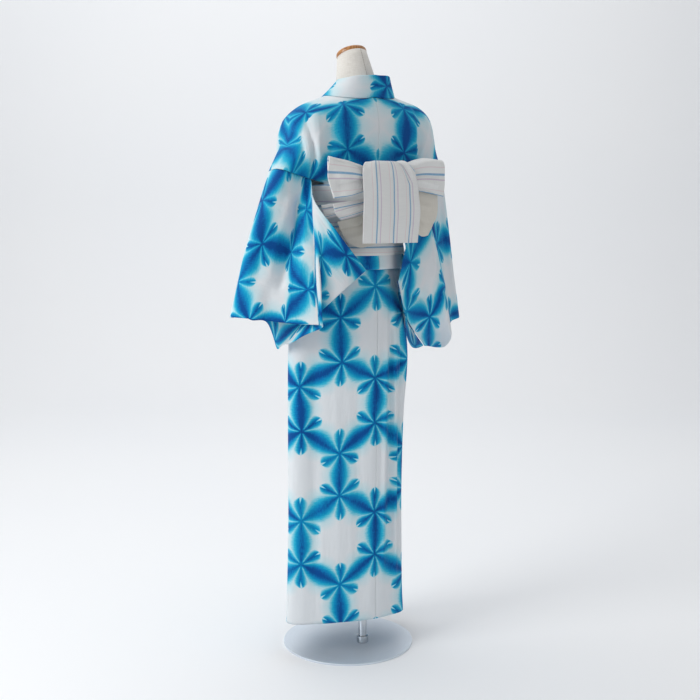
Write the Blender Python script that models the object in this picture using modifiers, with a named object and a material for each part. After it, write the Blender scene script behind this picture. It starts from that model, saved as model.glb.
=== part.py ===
"""Cotton yukata robe, worn on a limbless dress form with a pole and a round base.

Frame: metres, +Z up, floor at Z 0, pole axis through the origin.
The wearer faces -Y, so the wearer's left is +X and the back of the robe is +Y.
Angles round the body start at the centre back and grow towards the wearer's left.
"""
import math

import bmesh
import bpy
import numpy as np

MM = 0.001

# Cloth walls and the small gaps that separate sewn pieces.
CLOTH = 1.5 * MM
OBI_CLOTH = 2.4 * MM
SEAM_GAP = 0.3 * MM
TOUCH_GAP = 0.3 * MM

# Heights of the dressed figure.
HEM_HEIGHT = 0.086
FOLD_BOTTOM = 0.9745
TIE_HEIGHT = 1.034
OBI_BOTTOM = 1.010
OBI_TOP = 1.181
BODICE_START = 1.186

# Edges of the panels, as angles round the body in degrees.
SIDE_SEAM = 98.0
ARMHOLE_BACK = 62.0
ARMHOLE_FRONT = 118.0
OKUMI_SEAM = 188.0
OKUMI_EDGE = 254.0
UNDER_START = 80.0
UNDER_FULL = 98.0

# Distances of the nested layers from the skirt, outer wrap and under wrap.
OUTER_LAYERS = {"skirt": 0.0, "down": 3.6 * MM, "up": 14.2 * MM}
UNDER_LAYERS = {"skirt": -4.0 * MM, "down": 7.2 * MM, "up": 10.6 * MM}
OBI_STAND_OFF = OUTER_LAYERS["up"] + CLOTH / 2 + OBI_CLOTH / 2 + 1.0 * MM

RING_CENTRE_Y = -0.060
MEAN_RADIUS = 0.12
# Angles of the radii round the body; the skirt has soft corners near 84 and 322.
RING_ANGLES = (0.0, 24.0, 48.0, 66.0, 84.0, 104.0, 140.0, 180.0, 225.0, 270.0, 300.0,
               322.0, 340.0)
# height, then the radius at each of those angles.
RING_ROWS = (
    (0.085, 0.1180, 0.1160, 0.1300, 0.1590, 0.2025, 0.1480, 0.1260, 0.1250, 0.1280, 0.1630,
     0.1340, 0.1430, 0.1265),
    (0.350, 0.1180, 0.1150, 0.1265, 0.1520, 0.1925, 0.1460, 0.1255, 0.1250, 0.1280, 0.1500,
     0.1240, 0.1345, 0.1245),
    (0.600, 0.1190, 0.1155, 0.1265, 0.1515, 0.1915, 0.1470, 0.1270, 0.1270, 0.1300, 0.1580,
     0.1320, 0.1385, 0.1255),
    (0.800, 0.1210, 0.1185, 0.1265, 0.1500, 0.1840, 0.1570, 0.1350, 0.1360, 0.1360, 0.1650,
     0.1400, 0.1440, 0.1255),
    (0.900, 0.1210, 0.1199, 0.1259, 0.1464, 0.1700, 0.1640, 0.1405, 0.1380, 0.1380, 0.1640,
     0.1340, 0.1250, 0.1200),
    (0.975, 0.1160, 0.1162, 0.1214, 0.1362, 0.1502, 0.1485, 0.1287, 0.1260, 0.1280, 0.1500,
     0.1253, 0.1122, 0.1129),
    (1.100, 0.1040, 0.1050, 0.1088, 0.1165, 0.1234, 0.1211, 0.1067, 0.1000, 0.1080, 0.1240,
     0.1121, 0.1047, 0.1036),
    (1.190, 0.1060, 0.1071, 0.1120, 0.1219, 0.1309, 0.1296, 0.1145, 0.1060, 0.1160, 0.1320,
     0.1174, 0.1083, 0.1062),
)

# The shoulder fold, from the centre to the armhole seam.
# share of the panel's width, distance from the centre, height, and how much
# wider and higher the right shoulder stands.
SHOULDER_ROWS = (
    (0.00, 0.000, 1.418, 0.000, 0.000),
    (0.28, 0.094, 1.394, 0.002, 0.009),
    (0.58, 0.187, 1.347, 0.007, 0.018),
    (0.82, 0.201, 1.272, 0.026, 0.008),
    (1.00, 0.232, 1.217, 0.029, 0.002),
)
SHOULDER_Y = -0.028
NECK_SHARE = 0.28
NECK_DEPTH = 0.20
COLLAR_CROSSING = 8.0 / 62.0
PANEL_WIDTH = 0.335

# How the bodice leaves the shoulder on each face: how fast it reaches its depth,
# how late it draws in to the waist, and how far it swells out on the way.
BODICE_SHAPE = {"back": (7.0, 1.7, 0.006), "front": (3.2, 1.5, 0.004)}
FALL_POWER = 1.3
# The under front lies back from the outer one near its collar edge: the share of
# the width and the steps down the bodice over which it does.
TUCK_SHARES = (0.38, 0.66)
TUCK_STEPS = (0.12, 0.55)

# Columns and rows of the body panels' grids.
PANEL_SHARES = (0.0, 0.14, 0.28, 0.38, 0.48, 0.58, 0.68, 0.78, 0.857, 0.92, 1.0)
SKIRT_HEIGHTS = (HEM_HEIGHT, 0.24, 0.40, 0.55, 0.68, 0.78, 0.86, 0.93, 0.98, TIE_HEIGHT)
BODICE_STEPS = (0.86, 0.70, 0.54, 0.40, 0.29, NECK_DEPTH, 0.17, 0.13, 0.09, 0.05, 0.02)
UPPER_HEIGHTS = (1.03, 1.065, 1.10, 1.145)
TURN_STEPS = (0.2, 0.5, 0.8)

# Sleeve: key lines that run from the armhole to the cuff. Each row is the share
# of the cloth's width, 0 at the top fold, +1 and -1 at the bottom seam on the
# back and front sheets, then the line's place at the armhole end, the middle
# and the cuff end, for the left sleeve. Lines that are sewn to the armhole have
# no place of their own there.
SLEEVE_LINES = (
    (-1.00, (0.062, 0.0965, 0.977), (0.152, 0.083, 0.905), (0.2340, -0.0350, 0.774)),
    (-0.85, (0.152, 0.060, 1.035), (0.196, 0.030, 0.930), (0.2100, -0.0700, 0.781)),
    (-0.68, (0.172, -0.045, 1.115), (0.200, -0.050, 0.965), (0.2120, -0.1120, 0.842)),
    (-0.50, (0.167, -0.107, 1.180), (0.222, -0.104, 0.984), (0.2380, -0.1470, 0.848)),
    (-0.45, None, (0.230, -0.112, 0.990), (0.2460, -0.1500, 0.852)),
    (-0.30, None, (0.259, -0.108, 1.015), (0.2860, -0.1320, 0.862)),
    (-0.15, None, (0.289, -0.075, 1.026), (0.3200, -0.0890, 0.862)),
    (0.00, None, (0.309, -0.038, 1.022), (0.3455, -0.0500, 0.868)),
    (0.15, None, (0.284, -0.006, 1.025), (0.3180, -0.0060, 0.866)),
    (0.30, None, (0.248, 0.004, 1.015), (0.2780, 0.0120, 0.860)),
    (0.45, None, (0.208, 0.036, 1.006), (0.2300, 0.0600, 0.854)),
    (0.56, (0.172, 0.040, 1.150), (0.186, 0.074, 1.002), (0.1890, 0.1000, 0.852)),
    (0.77, (0.141, 0.098, 1.068), (0.176, 0.068, 0.960), (0.2120, 0.0450, 0.820)),
    (1.00, (0.061, 0.1000, 0.977), (0.152, 0.0870, 0.905), (0.2350, -0.0300, 0.774)),
)
# The right sleeve lies closer to the back: its own lines, before they are mirrored.
RIGHT_SLEEVE_LINES = {
    -1.00: (-1.00, (0.050, 0.0765, 0.945), (0.090, 0.064, 0.863), (0.2340, -0.0350, 0.781)),
    -0.85: (-0.85, (0.150, 0.056, 1.030), (0.150, 0.020, 0.885), (0.2100, -0.0700, 0.786)),
    0.56: (0.56, (0.172, 0.040, 1.150), (0.186, 0.074, 1.002), (0.2050, 0.1000, 0.840)),
    0.77: (0.77, (0.085, 0.0780, 1.055), (0.140, 0.080, 0.930), (0.2120, 0.0680, 0.803)),
    1.00: (1.00, (0.050, 0.0800, 0.945), (0.090, 0.0680, 0.863), (0.2350, -0.0300, 0.781)),
}
SEWN_SHARE = 0.45
SEWN_DEPTH = 0.80
ARMHOLE_GAP = 1.3 * MM
SLEEVE_STATIONS = (0.0, 0.5, 1.0)
SLEEVE_ALONG = (0.0, 0.06, 0.16, 0.28, 0.4, 0.52, 0.64, 0.76, 0.88, 1.0)
SLEEVE_HALF_STEPS = 15
RIGHT_SLEEVE_DROP = 0.030
SLEEVE_WIDTH = 0.36
CORNER_START = 0.80
CORNER_RISE = 0.035

# Collar: how far the standing edge of the folded band lies from the seam, as
# the share of the way from the centre back to the obi, then the distance away
# from the side, forwards (negative) and upwards.
COLLAR_RISE = (
    (0.00, 0.000, 0.004, 0.052),
    (0.10, -0.007, 0.004, 0.054),
    (0.22, -0.024, 0.005, 0.045),
    (0.34, -0.035, 0.010, 0.036),
    (0.48, -0.039, 0.018, 0.030),
    (0.64, -0.043, 0.016, 0.022),
    (0.82, -0.046, 0.009, 0.010),
    (1.00, -0.046, 0.006, 0.002),
)
COLLAR_FOLD = 1.1 * MM
COLLAR_CLOTH = 1.2 * MM
COLLAR_SEAM = 1.3 * MM
UNDER_TUCK = 14.0 * MM
UNDER_COLLAR_TUCK = 12.0 * MM

# Dress form above the waist: height, centre Y, half width, depth to the back
# and depth to the front of an oval.
FORM_ROWS = (
    (1.225, -0.058, 0.136, 0.100, 0.088),
    (1.262, -0.052, 0.156, 0.090, 0.082),
    (1.300, -0.044, 0.174, 0.076, 0.070),
    (1.330, -0.034, 0.184, 0.060, 0.056),
)
FORM_SHOULDER_SHARES = (0.58, 0.48, 0.40, 0.33)
FORM_SHOULDER_DEPTHS = (0.048, 0.043, 0.038, 0.032)
FORM_INSET = 0.0100
FORM_SHOULDER_DROP = 0.0034
FORM_HEIGHTS = (0.80, 0.84, 0.90, 0.975, 1.04, 1.10, 1.15, 1.19)
# height, half width, half depth and centre Y
NECK_ROWS = ((1.3905, 0.078, 0.042, -0.030), (1.401, 0.062, 0.049, -0.029),
             (1.422, 0.0525, 0.0515, -0.0275), (1.4985, 0.0368, 0.0368, -0.0495))
NECK_TILT = 0.38

POLE_RADIUS = 0.0105
FERRULE_RADIUS = 0.0150
FERRULE_HEIGHT = 0.018
BASE_RADIUS = 0.168
BASE_THICKNESS = 0.005
BASE_CENTRE = (0.018, -0.041)

COLLECTION = bpy.data.collections.new("yukata_robe_on_stand")


def clear_scene():
    """Remove everything that the start-up file holds."""
    for thing in list(bpy.data.objects):
        bpy.data.objects.remove(thing)
    bpy.context.scene.collection.children.link(COLLECTION)


def make_material(name, colour, roughness, metallic=0.0):
    """A plain Principled material."""
    material = bpy.data.materials.new(name)
    material.use_nodes = True
    shader = material.node_tree.nodes["Principled BSDF"]
    shader.inputs["Base Color"].default_value = (*colour, 1.0)
    shader.inputs["Roughness"].default_value = roughness
    shader.inputs["Metallic"].default_value = metallic
    return material


def smooth_between(stations, values, where):
    """Read a smooth curve through a table's rows at the places asked for."""
    stations = np.asarray(stations, float)
    values = np.asarray(values, float)
    where = np.asarray(where, float)
    slopes = np.gradient(values, stations, axis=0)
    last = len(stations) - 2
    index = np.clip(np.searchsorted(stations, where, side="right") - 1, 0, last)
    span = stations[index + 1] - stations[index]
    t = np.clip((where - stations[index]) / span, 0.0, 1.0)
    if values.ndim > 1:
        extra = (1,) * (values.ndim - 1)
        span = span.reshape(span.shape + extra)
        t = t.reshape(t.shape + extra)
    t2 = t * t
    t3 = t2 * t
    return ((2 * t3 - 3 * t2 + 1) * values[index] + (t3 - 2 * t2 + t) * span * slopes[index]
            + (3 * t2 - 2 * t3) * values[index + 1] + (t3 - t2) * span * slopes[index + 1])


def soft_step(value, low, high):
    """0 below low, 1 above high and an S-curve between."""
    t = np.clip((value - low) / (high - low), 0.0, 1.0)
    return t * t * (3 - 2 * t)


def body_ring(angle, height, stand_off=0.0):
    """Points round the dressed body, at an angle and a height, moved outwards."""
    angle = np.asarray(angle, float)
    height, stand_off = np.broadcast_arrays(height, stand_off)
    rows = np.array(RING_ROWS)
    around = np.array(RING_ANGLES)
    around = np.concatenate([around[-3:] - 360, around, around[:3] + 360])
    radii = np.concatenate([rows[:, -3:], rows[:, 1:], rows[:, 1:4]], axis=1)
    up = smooth_between(rows[:, 0], np.eye(len(rows)), np.clip(height, rows[0, 0], rows[-1, 0]))
    turn = smooth_between(around, np.eye(len(around)), np.mod(angle, 360.0))
    radius = np.einsum("...r,rk,...k->...", up, radii, turn) + stand_off
    radians = np.radians(angle)
    return np.stack([radius * np.sin(radians),
                     RING_CENTRE_Y + radius * np.cos(radians),
                     height + 0.0 * radius], axis=-1)


def layer_path(under_share):
    """Heights and stand-offs up one panel, from the hem through the waist fold.

    The cloth climbs from the hem to the tie, turns over it, hangs down to the
    bottom of the waist fold, turns again and climbs under the obi.
    """
    def stand_off(layer):
        return OUTER_LAYERS[layer] * (1 - under_share) + UNDER_LAYERS[layer] * under_share

    path = [(height, stand_off("skirt")) for height in SKIRT_HEIGHTS]
    rise = (stand_off("down") - stand_off("skirt")) / 2
    middle = (stand_off("down") + stand_off("skirt")) / 2
    for step in TURN_STEPS:
        turn = math.pi * (1 - step)
        path.append((TIE_HEIGHT + rise * math.sin(turn), middle + rise * math.cos(turn)))
    path.append((TIE_HEIGHT, stand_off("down")))
    drop = (stand_off("up") - stand_off("down")) / 2
    middle = (stand_off("up") + stand_off("down")) / 2
    turn_height = FOLD_BOTTOM + OUTER_LAYERS["up"] / 2
    path.append((turn_height, stand_off("down")))
    for step in TURN_STEPS:
        turn = math.pi * (1 - step)
        path.append((turn_height - drop * math.sin(turn), middle + drop * math.cos(turn)))
    path += [(height, stand_off("up")) for height in (turn_height, *UPPER_HEIGHTS, BODICE_START)]
    return path


def panel_rows(angles, under_share, free_edge=None):
    """The rows of a panel from the hem to the top of the obi, as a point grid."""
    path = layer_path(under_share)
    upper_from = len(path) - len(UPPER_HEIGHTS) - 1
    rows = []
    for number, (height, stand_off) in enumerate(path):
        row_angles = angles
        if free_edge is not None and number >= upper_from:
            share = soft_step(np.mean(height), OBI_BOTTOM + 0.01, BODICE_START)
            row_angles = angles * (1 - share) + free_edge * share
        rows.append(body_ring(row_angles, np.broadcast_to(height, angles.shape), stand_off))
    return np.array(rows)


def shoulder_point(share, side):
    """Point on the shoulder fold at a share of the panel's width."""
    rows = np.array(SHOULDER_ROWS)
    width = np.abs(share)
    x = np.sign(share) * smooth_between(rows[:, 0], rows[:, 1], width)
    z = smooth_between(rows[:, 0], rows[:, 2], width)
    if side < 0:
        x = x + np.sign(share) * smooth_between(rows[:, 0], rows[:, 3], width)
        z = z + smooth_between(rows[:, 0], rows[:, 4], width)
    return np.stack([side * x, np.full_like(x, SHOULDER_Y), z], axis=-1)


def bodice_column(share, step, side, face, stand_off):
    """Point on the bodice at a share of the width, a step below the shoulder.

    The cloth leaves the shoulder fold level, turns over the back or the bust and
    falls to the top of the obi, drawing in towards the waist on the way.
    """
    top = shoulder_point(share, side)
    fall, draw_in, fullness = BODICE_SHAPE[face]
    angle = side * ARMHOLE_BACK * share
    if face == "front":
        angle = side * (180.0 - (180.0 - ARMHOLE_FRONT) * share)
    foot = body_ring(angle, np.full_like(share, BODICE_START), stand_off)
    away = 1 - (1 - step) ** fall
    point = np.empty(top.shape)
    point[..., 0] = top[..., 0] + (foot[..., 0] - top[..., 0]) * step ** draw_in
    point[..., 1] = top[..., 1] + (foot[..., 1] - top[..., 1]) * away
    point[..., 2] = top[..., 2] + (foot[..., 2] - top[..., 2]) * step ** FALL_POWER
    swell = fullness * np.sin(math.pi * step) * (1 - np.abs(share)) ** 0.5
    point[..., 1] += swell if face == "back" else -swell
    return point


def inner_share(step, side, face):
    """Share where the panel's inner edge lies: centre seam, neckline or collar seam."""
    if face == "back":
        if step >= NECK_DEPTH:
            return 0.0
        return NECK_SHARE * math.sqrt(1 - (step / NECK_DEPTH) ** 2)
    crossing = -COLLAR_CROSSING
    return NECK_SHARE + (crossing - NECK_SHARE) * step ** 1.5


def body_panel(side):
    """One half of the body as a grid: back hem, over the shoulder, to the front hem."""
    shares = np.array(PANEL_SHARES)
    gap = math.degrees(SEAM_GAP / MEAN_RADIUS)
    back_angles = side * (gap + (SIDE_SEAM - 2 * gap) * shares)
    free_back = side * (gap + (ARMHOLE_BACK - gap) * shares)
    under = np.zeros_like(shares)
    if side < 0:
        under = soft_step(np.abs(back_angles), UNDER_START, UNDER_FULL)
    back = panel_rows(back_angles, under, free_back)

    rows = []
    for step in BODICE_STEPS:
        inner = inner_share(step, side, "back")
        width = inner + (1 - inner) * shares
        width = np.maximum(width, SEAM_GAP / PANEL_WIDTH)
        rows.append(bodice_column(width, step, side, "back", OUTER_LAYERS["up"]))
    width = NECK_SHARE + (1 - NECK_SHARE) * shares
    rows.append(shoulder_point(width, side))

    for step in BODICE_STEPS[::-1]:
        inner = inner_share(step, side, "front")
        width = inner + (1 - inner) * shares
        point = bodice_column(width, step, side, "front", OUTER_LAYERS["up"])
        if side < 0:
            near_edge = 1 - soft_step(width, *TUCK_SHARES)
            point[..., 1] += UNDER_TUCK * near_edge * soft_step(step, *TUCK_STEPS)
        rows.append(point)
    bodice = np.array(rows)

    front_angles = side * (OKUMI_SEAM - gap + (SIDE_SEAM - OKUMI_SEAM + 2 * gap) * shares)
    inner = inner_share(1.0, side, "front")
    width = inner + (1 - inner) * shares
    free_front = side * (180.0 - (180.0 - ARMHOLE_FRONT) * width)
    under = np.full_like(shares, 1.0 if side < 0 else 0.0)
    front = panel_rows(front_angles, under, free_front)[::-1]
    return np.concatenate([back, bodice, front])


def okumi_panel(side):
    """Front overlap panel, from the hem through the waist fold to under the obi."""
    shares = np.linspace(0.0, 1.0, 9)
    gap = math.degrees(SEAM_GAP / MEAN_RADIUS)
    angles = side * (OKUMI_SEAM + gap + (OKUMI_EDGE - OKUMI_SEAM - gap) * shares)
    under = np.full_like(shares, 1.0 if side < 0 else 0.0)
    return panel_rows(angles, under)[:-1]


def sheet_between_lines(lines, stations, across, along):
    """Smooth sheet through key lines: a grid with a row for each station along."""
    shares = [row[0] for row in lines]
    places = np.array([row[1:] for row in lines])
    by_station = smooth_between(shares, places, np.asarray(across))
    return smooth_between(stations, by_station.transpose(1, 0, 2), np.asarray(along))


def armhole_point(share, side):
    """Point beside the body's armhole edge where a share of the sleeve is sewn."""
    face = "back" if share >= 0 else "front"
    step = abs(share) / SEWN_SHARE * SEWN_DEPTH
    edge = bodice_column(np.array(1.0), step, side, face, OUTER_LAYERS["up"])
    inside = bodice_column(np.array(0.96), step, side, face, OUTER_LAYERS["up"])
    away = (edge - inside) / np.linalg.norm(edge - inside)
    place = edge + away * ARMHOLE_GAP
    return side * place[0], place[1], place[2]


def sleeve_sheet(side):
    """One sleeve, folded at its top, with a rounded corner at the foot of the cuff."""
    half = np.linspace(0.0, 1.0, SLEEVE_HALF_STEPS)
    across = np.concatenate([-half[:0:-1], half])
    lines = SLEEVE_LINES
    if side < 0:
        lines = [RIGHT_SLEEVE_LINES.get(row[0], row) for row in SLEEVE_LINES]
    shares = [row[0] for row in lines]
    places = np.array([(row[1] or armhole_point(row[0], side), row[2], row[3])
                       for row in lines])
    grid = np.empty((len(SLEEVE_ALONG), len(across), 3))
    for column, share in enumerate(across):
        past = max(0.0, abs(share) - CORNER_START) / (1 - CORNER_START)
        along = np.array(SLEEVE_ALONG) * (1 - CORNER_RISE / SLEEVE_WIDTH * past ** 2)
        line = smooth_between(shares, places, share)
        if abs(share) <= SEWN_SHARE:
            line[0] = armhole_point(share, side)
        grid[:, column] = smooth_between(SLEEVE_STATIONS, line, along)
    if side < 0:
        grid[..., 0] *= -1
        grid[..., 2] -= RIGHT_SLEEVE_DROP * np.array(SLEEVE_ALONG)[:, None]
    return grid


def collar_half(side):
    """Seam line of half the collar and its standing edge, from the centre back."""
    panel = body_panel(side)
    neck_row = len(layer_path(0.0)) + BODICE_STEPS.index(NECK_DEPTH)
    last_row = len(layer_path(0.0)) + 2 * len(BODICE_STEPS) + 1
    edge = panel[neck_row:last_row + 1, 0]
    edge[0, 0] = 0.0
    toward = edge - panel[neck_row:last_row + 1, 1]
    toward[0] = (0.0, 0.0, 1.0)
    toward /= np.linalg.norm(toward, axis=1)[:, None]
    at_back = 1 - soft_step(np.arange(len(edge)), 0, 4)
    toward[:, 2] += 1.5 * at_back
    along = np.gradient(edge, axis=0)
    along /= np.linalg.norm(along, axis=1)[:, None]
    toward -= along * np.sum(toward * along, axis=1)[:, None]
    toward /= np.linalg.norm(toward, axis=1)[:, None]
    seam = edge + toward * COLLAR_SEAM
    seam[0, 0] = 0.0
    length = np.concatenate([[0.0], np.cumsum(np.linalg.norm(np.diff(seam, axis=0), axis=1))])
    share = length / length[-1]
    table = np.array(COLLAR_RISE)
    rise = smooth_between(table[:, 0], table[:, 1:], share)
    rise[:, 0] *= side
    if side < 0:
        rise[:, 1] += UNDER_COLLAR_TUCK * soft_step(share, 0.6, 1.0)
    return seam, seam + rise


def collar_band():
    """The folded collar band as a grid: outer face, standing fold, inner face."""
    left_seam, left_stand = collar_half(1)
    right_seam, right_stand = collar_half(-1)
    seam = np.concatenate([right_seam[:0:-1], left_seam])
    stand = np.concatenate([right_stand[:0:-1], left_stand])
    rise = stand - seam
    outward = np.cross(rise, np.gradient(seam, axis=0))
    outward /= np.linalg.norm(outward, axis=1)[:, None]
    columns = []
    for rise_share, out in ((0.0, 1.0), (0.35, 1.0), (0.75, 1.0), (0.975, 0.8), (1.0, 0.0),
                            (0.975, -0.8), (0.75, -1.0), (0.35, -1.0), (0.0, -1.0)):
        columns.append(seam + rise * rise_share + outward * (out * COLLAR_FOLD))
    return np.array(columns).transpose(1, 0, 2)


def obi_ring():
    """The obi round the waist, a closed band."""
    angles = np.arange(0.0, 360.0, 7.5)
    heights = (OBI_BOTTOM, *UPPER_HEIGHTS, OBI_TOP)
    rows = []
    for height in heights:
        rows.append(body_ring(angles, np.full_like(angles, height),
                              OBI_STAND_OFF + 0.0 * angles))
    return np.array(rows)


def grid_mesh(name, grid, closed=False):
    """Mesh of quads through a grid of points, closed round its rows if asked."""
    rows, columns = grid.shape[:2]
    faces = []
    for row in range(rows - 1):
        for column in range(columns if closed else columns - 1):
            after = (column + 1) % columns
            faces.append((row * columns + column, row * columns + after,
                          (row + 1) * columns + after, (row + 1) * columns + column))
    mesh = bpy.data.meshes.new(name)
    mesh.from_pydata(grid.reshape(-1, 3).tolist(), [], faces)
    mesh.update()
    return mesh


def add_object(name, mesh, material):
    """Link a mesh as a named object with its material."""
    thing = bpy.data.objects.new(name, mesh)
    thing.data.materials.append(material)
    COLLECTION.objects.link(thing)
    return thing


def add_sheet(name, grid, material, thickness, closed=False):
    """A cloth wall: an open surface given its thickness to both sides."""
    mesh = grid_mesh(name, grid, closed)
    mesh.shade_smooth()
    thing = add_object(name, mesh, material)
    wall = thing.modifiers.new("wall", "SOLIDIFY")
    wall.thickness = thickness
    wall.offset = 0.0
    wall.use_even_offset = True
    wall.use_quality_normals = True
    return thing


def add_loft(name, rings, material):
    """A solid through closed rings, capped at both ends."""
    mesh = grid_mesh(name, rings, closed=True)
    columns = rings.shape[1]
    shape = bmesh.new()
    shape.from_mesh(mesh)
    shape.verts.ensure_lookup_table()
    count = len(shape.verts)
    shape.faces.new([shape.verts[i] for i in range(columns)])
    shape.faces.new([shape.verts[count - columns + i] for i in range(columns)])
    bmesh.ops.recalc_face_normals(shape, faces=shape.faces)
    shape.to_mesh(mesh)
    shape.free()
    mesh.shade_smooth()
    return add_object(name, mesh, material)


def add_turned(name, profile, material, segments, place=(0.0, 0.0, 0.0), tilt=0.0):
    """A turned piece: a profile of radius and height, spun about Z."""
    mesh = bpy.data.meshes.new(name)
    points = [(radius, 0.0, height) for radius, height in profile]
    edges = [(i, i + 1) for i in range(len(points) - 1)]
    if points[0][0] > 0:
        edges.append((len(points) - 1, 0))
    mesh.from_pydata(points, edges, [])
    thing = add_object(name, mesh, material)
    spin = thing.modifiers.new("turn", "SCREW")
    spin.steps = segments
    spin.render_steps = segments
    spin.use_merge_vertices = True
    spin.merge_threshold = 0.00005
    thing.location = place
    thing.rotation_euler = (tilt, 0.0, 0.0)
    return thing


def form_rings():
    """Rings of the dress form: hips and waist, bust, shoulders and neck."""
    angles = np.arange(0.0, 360.0, 360.0 / 28)
    radians = np.radians(angles)
    rings = [body_ring(angles, np.full_like(angles, height), -FORM_INSET + 0.0 * angles)
             for height in FORM_HEIGHTS]

    def oval(height, centre_y, half_width, back, front, slope=0.0):
        depth = np.where(np.cos(radians) > 0, back, front)
        y = depth * np.cos(radians)
        return np.stack([half_width * np.sin(radians), centre_y + y,
                         height + slope * y], axis=-1)

    rings += [oval(*row) for row in FORM_ROWS]
    for share, depth in zip(FORM_SHOULDER_SHARES, FORM_SHOULDER_DEPTHS):
        x, _, z = shoulder_point(np.array(share), 1)
        rings.append(oval(z - 0.0004, SHOULDER_Y, x - FORM_SHOULDER_DROP, depth, depth))
    for height, half_width, half_depth, centre_y in NECK_ROWS:
        slope = NECK_TILT if height == NECK_ROWS[-1][0] else 0.0
        rings.append(oval(height, centre_y, half_width, half_depth, half_depth, slope))
    return np.array(rings)


# Pieces of the bow. Each key line runs from the knot outwards or downwards; a
# row is the share across the piece, then three places along the line.
BOW_STATIONS = (0.0, 0.5, 1.0)
KNOT_RIGHT = -0.040
KNOT_LEFT = 0.016
KNOT_BOTTOM = 1.100
KNOT_TOP = 1.2270
KNOT_BACK = 0.1032
WING_LEFT = (
    (0.0, (0.0167, 0.0790, 1.165), (0.095, 0.0780, 1.153), (0.150, 0.0760, 1.146)),
    (0.5, (0.0167, 0.0760, 1.190), (0.095, 0.0740, 1.196), (0.152, 0.0760, 1.196)),
    (0.9, (0.0167, 0.0780, 1.211), (0.095, 0.0760, 1.232), (0.155, 0.0780, 1.240)),
    (1.0, (0.0167, 0.0835, 1.213), (0.095, 0.0860, 1.236), (0.158, 0.0840, 1.243)),
    (1.1, (0.0167, 0.0890, 1.211), (0.095, 0.0950, 1.232), (0.160, 0.0900, 1.240)),
    (1.5, (0.0167, 0.0910, 1.190), (0.095, 0.0990, 1.196), (0.164, 0.0920, 1.196)),
    (2.0, (0.0167, 0.0880, 1.165), (0.095, 0.0950, 1.153), (0.160, 0.0900, 1.146)),
)
WING_RIGHT = (
    (0.0, (-0.0407, 0.0790, 1.165), (-0.110, 0.0780, 1.163), (-0.172, 0.0700, 1.154)),
    (0.5, (-0.0407, 0.0760, 1.190), (-0.110, 0.0740, 1.198), (-0.175, 0.0700, 1.198)),
    (0.9, (-0.0407, 0.0780, 1.220), (-0.110, 0.0760, 1.240), (-0.178, 0.0720, 1.240)),
    (1.0, (-0.0407, 0.0835, 1.224), (-0.110, 0.0860, 1.245), (-0.181, 0.0780, 1.243)),
    (1.1, (-0.0407, 0.0890, 1.220), (-0.110, 0.0950, 1.240), (-0.184, 0.0840, 1.240)),
    (1.5, (-0.0407, 0.0910, 1.190), (-0.110, 0.0990, 1.198), (-0.188, 0.0860, 1.198)),
    (2.0, (-0.0407, 0.0880, 1.165), (-0.110, 0.0950, 1.163), (-0.186, 0.0840, 1.154)),
)
WING_LEFT_LOWER = (
    (0.0, (0.0167, 0.0820, 1.156), (0.085, 0.0800, 1.143), (0.140, 0.0760, 1.134)),
    (0.5, (0.0167, 0.0850, 1.138), (0.085, 0.0850, 1.122), (0.134, 0.0800, 1.110)),
    (1.0, (0.0167, 0.0800, 1.122), (0.085, 0.0800, 1.104), (0.118, 0.0760, 1.096)),
)
LOBE_LEFT = (
    (0.0, (0.0167, 0.0750, 1.115), (0.070, 0.0700, 1.103), (0.118, 0.0600, 1.092)),
    (0.5, (0.0167, 0.0750, 1.078), (0.068, 0.0700, 1.066), (0.104, 0.0600, 1.064)),
    (1.0, (0.0167, 0.0750, 1.038), (0.055, 0.0700, 1.030), (0.086, 0.0610, 1.040)),
)
LOBE_RIGHT = (
    (0.0, (-0.0408, 0.0840, 1.172), (-0.110, 0.0865, 1.170), (-0.170, 0.0800, 1.160)),
    (0.5, (-0.0450, 0.0900, 1.112), (-0.115, 0.0940, 1.106), (-0.164, 0.0870, 1.108)),
    (1.0, (-0.0850, 0.0930, 1.070), (-0.110, 0.0960, 1.056), (-0.132, 0.0920, 1.058)),
)
TAIL_END = (
    (0.0, (0.080, 0.0774, 1.142), (0.120, 0.0640, 1.137), (0.156, 0.0500, 1.131)),
    (0.5, (0.078, 0.0774, 1.126), (0.118, 0.0640, 1.120), (0.150, 0.0500, 1.114)),
    (1.0, (0.076, 0.0774, 1.112), (0.115, 0.0640, 1.106), (0.144, 0.0500, 1.098)),
)
TAIL_STATIONS = (0.0, 0.15, 0.55, 1.0)
TAIL = (
    (0.00, (0.030, 0.0800, 1.2290), (0.066, 0.1020, 1.2310), (0.0766, 0.1130, 1.140),
     (0.0766, 0.1070, 1.041)),
    (0.25, (0.014, 0.0800, 1.2290), (0.034, 0.1050, 1.2340), (0.0350, 0.1160, 1.140),
     (0.0350, 0.1110, 1.041)),
    (0.50, (-0.004, 0.0800, 1.2290), (-0.002, 0.1060, 1.2350), (-0.0070, 0.1170, 1.140),
     (-0.0070, 0.1120, 1.041)),
    (0.75, (-0.022, 0.0800, 1.2290), (-0.036, 0.1050, 1.2340), (-0.0480, 0.1160, 1.140),
     (-0.0480, 0.1100, 1.041)),
    (1.00, (-0.040, 0.0800, 1.2290), (-0.062, 0.1020, 1.2300), (-0.0890, 0.1120, 1.140),
     (-0.0890, 0.1060, 1.041)),
)


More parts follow.
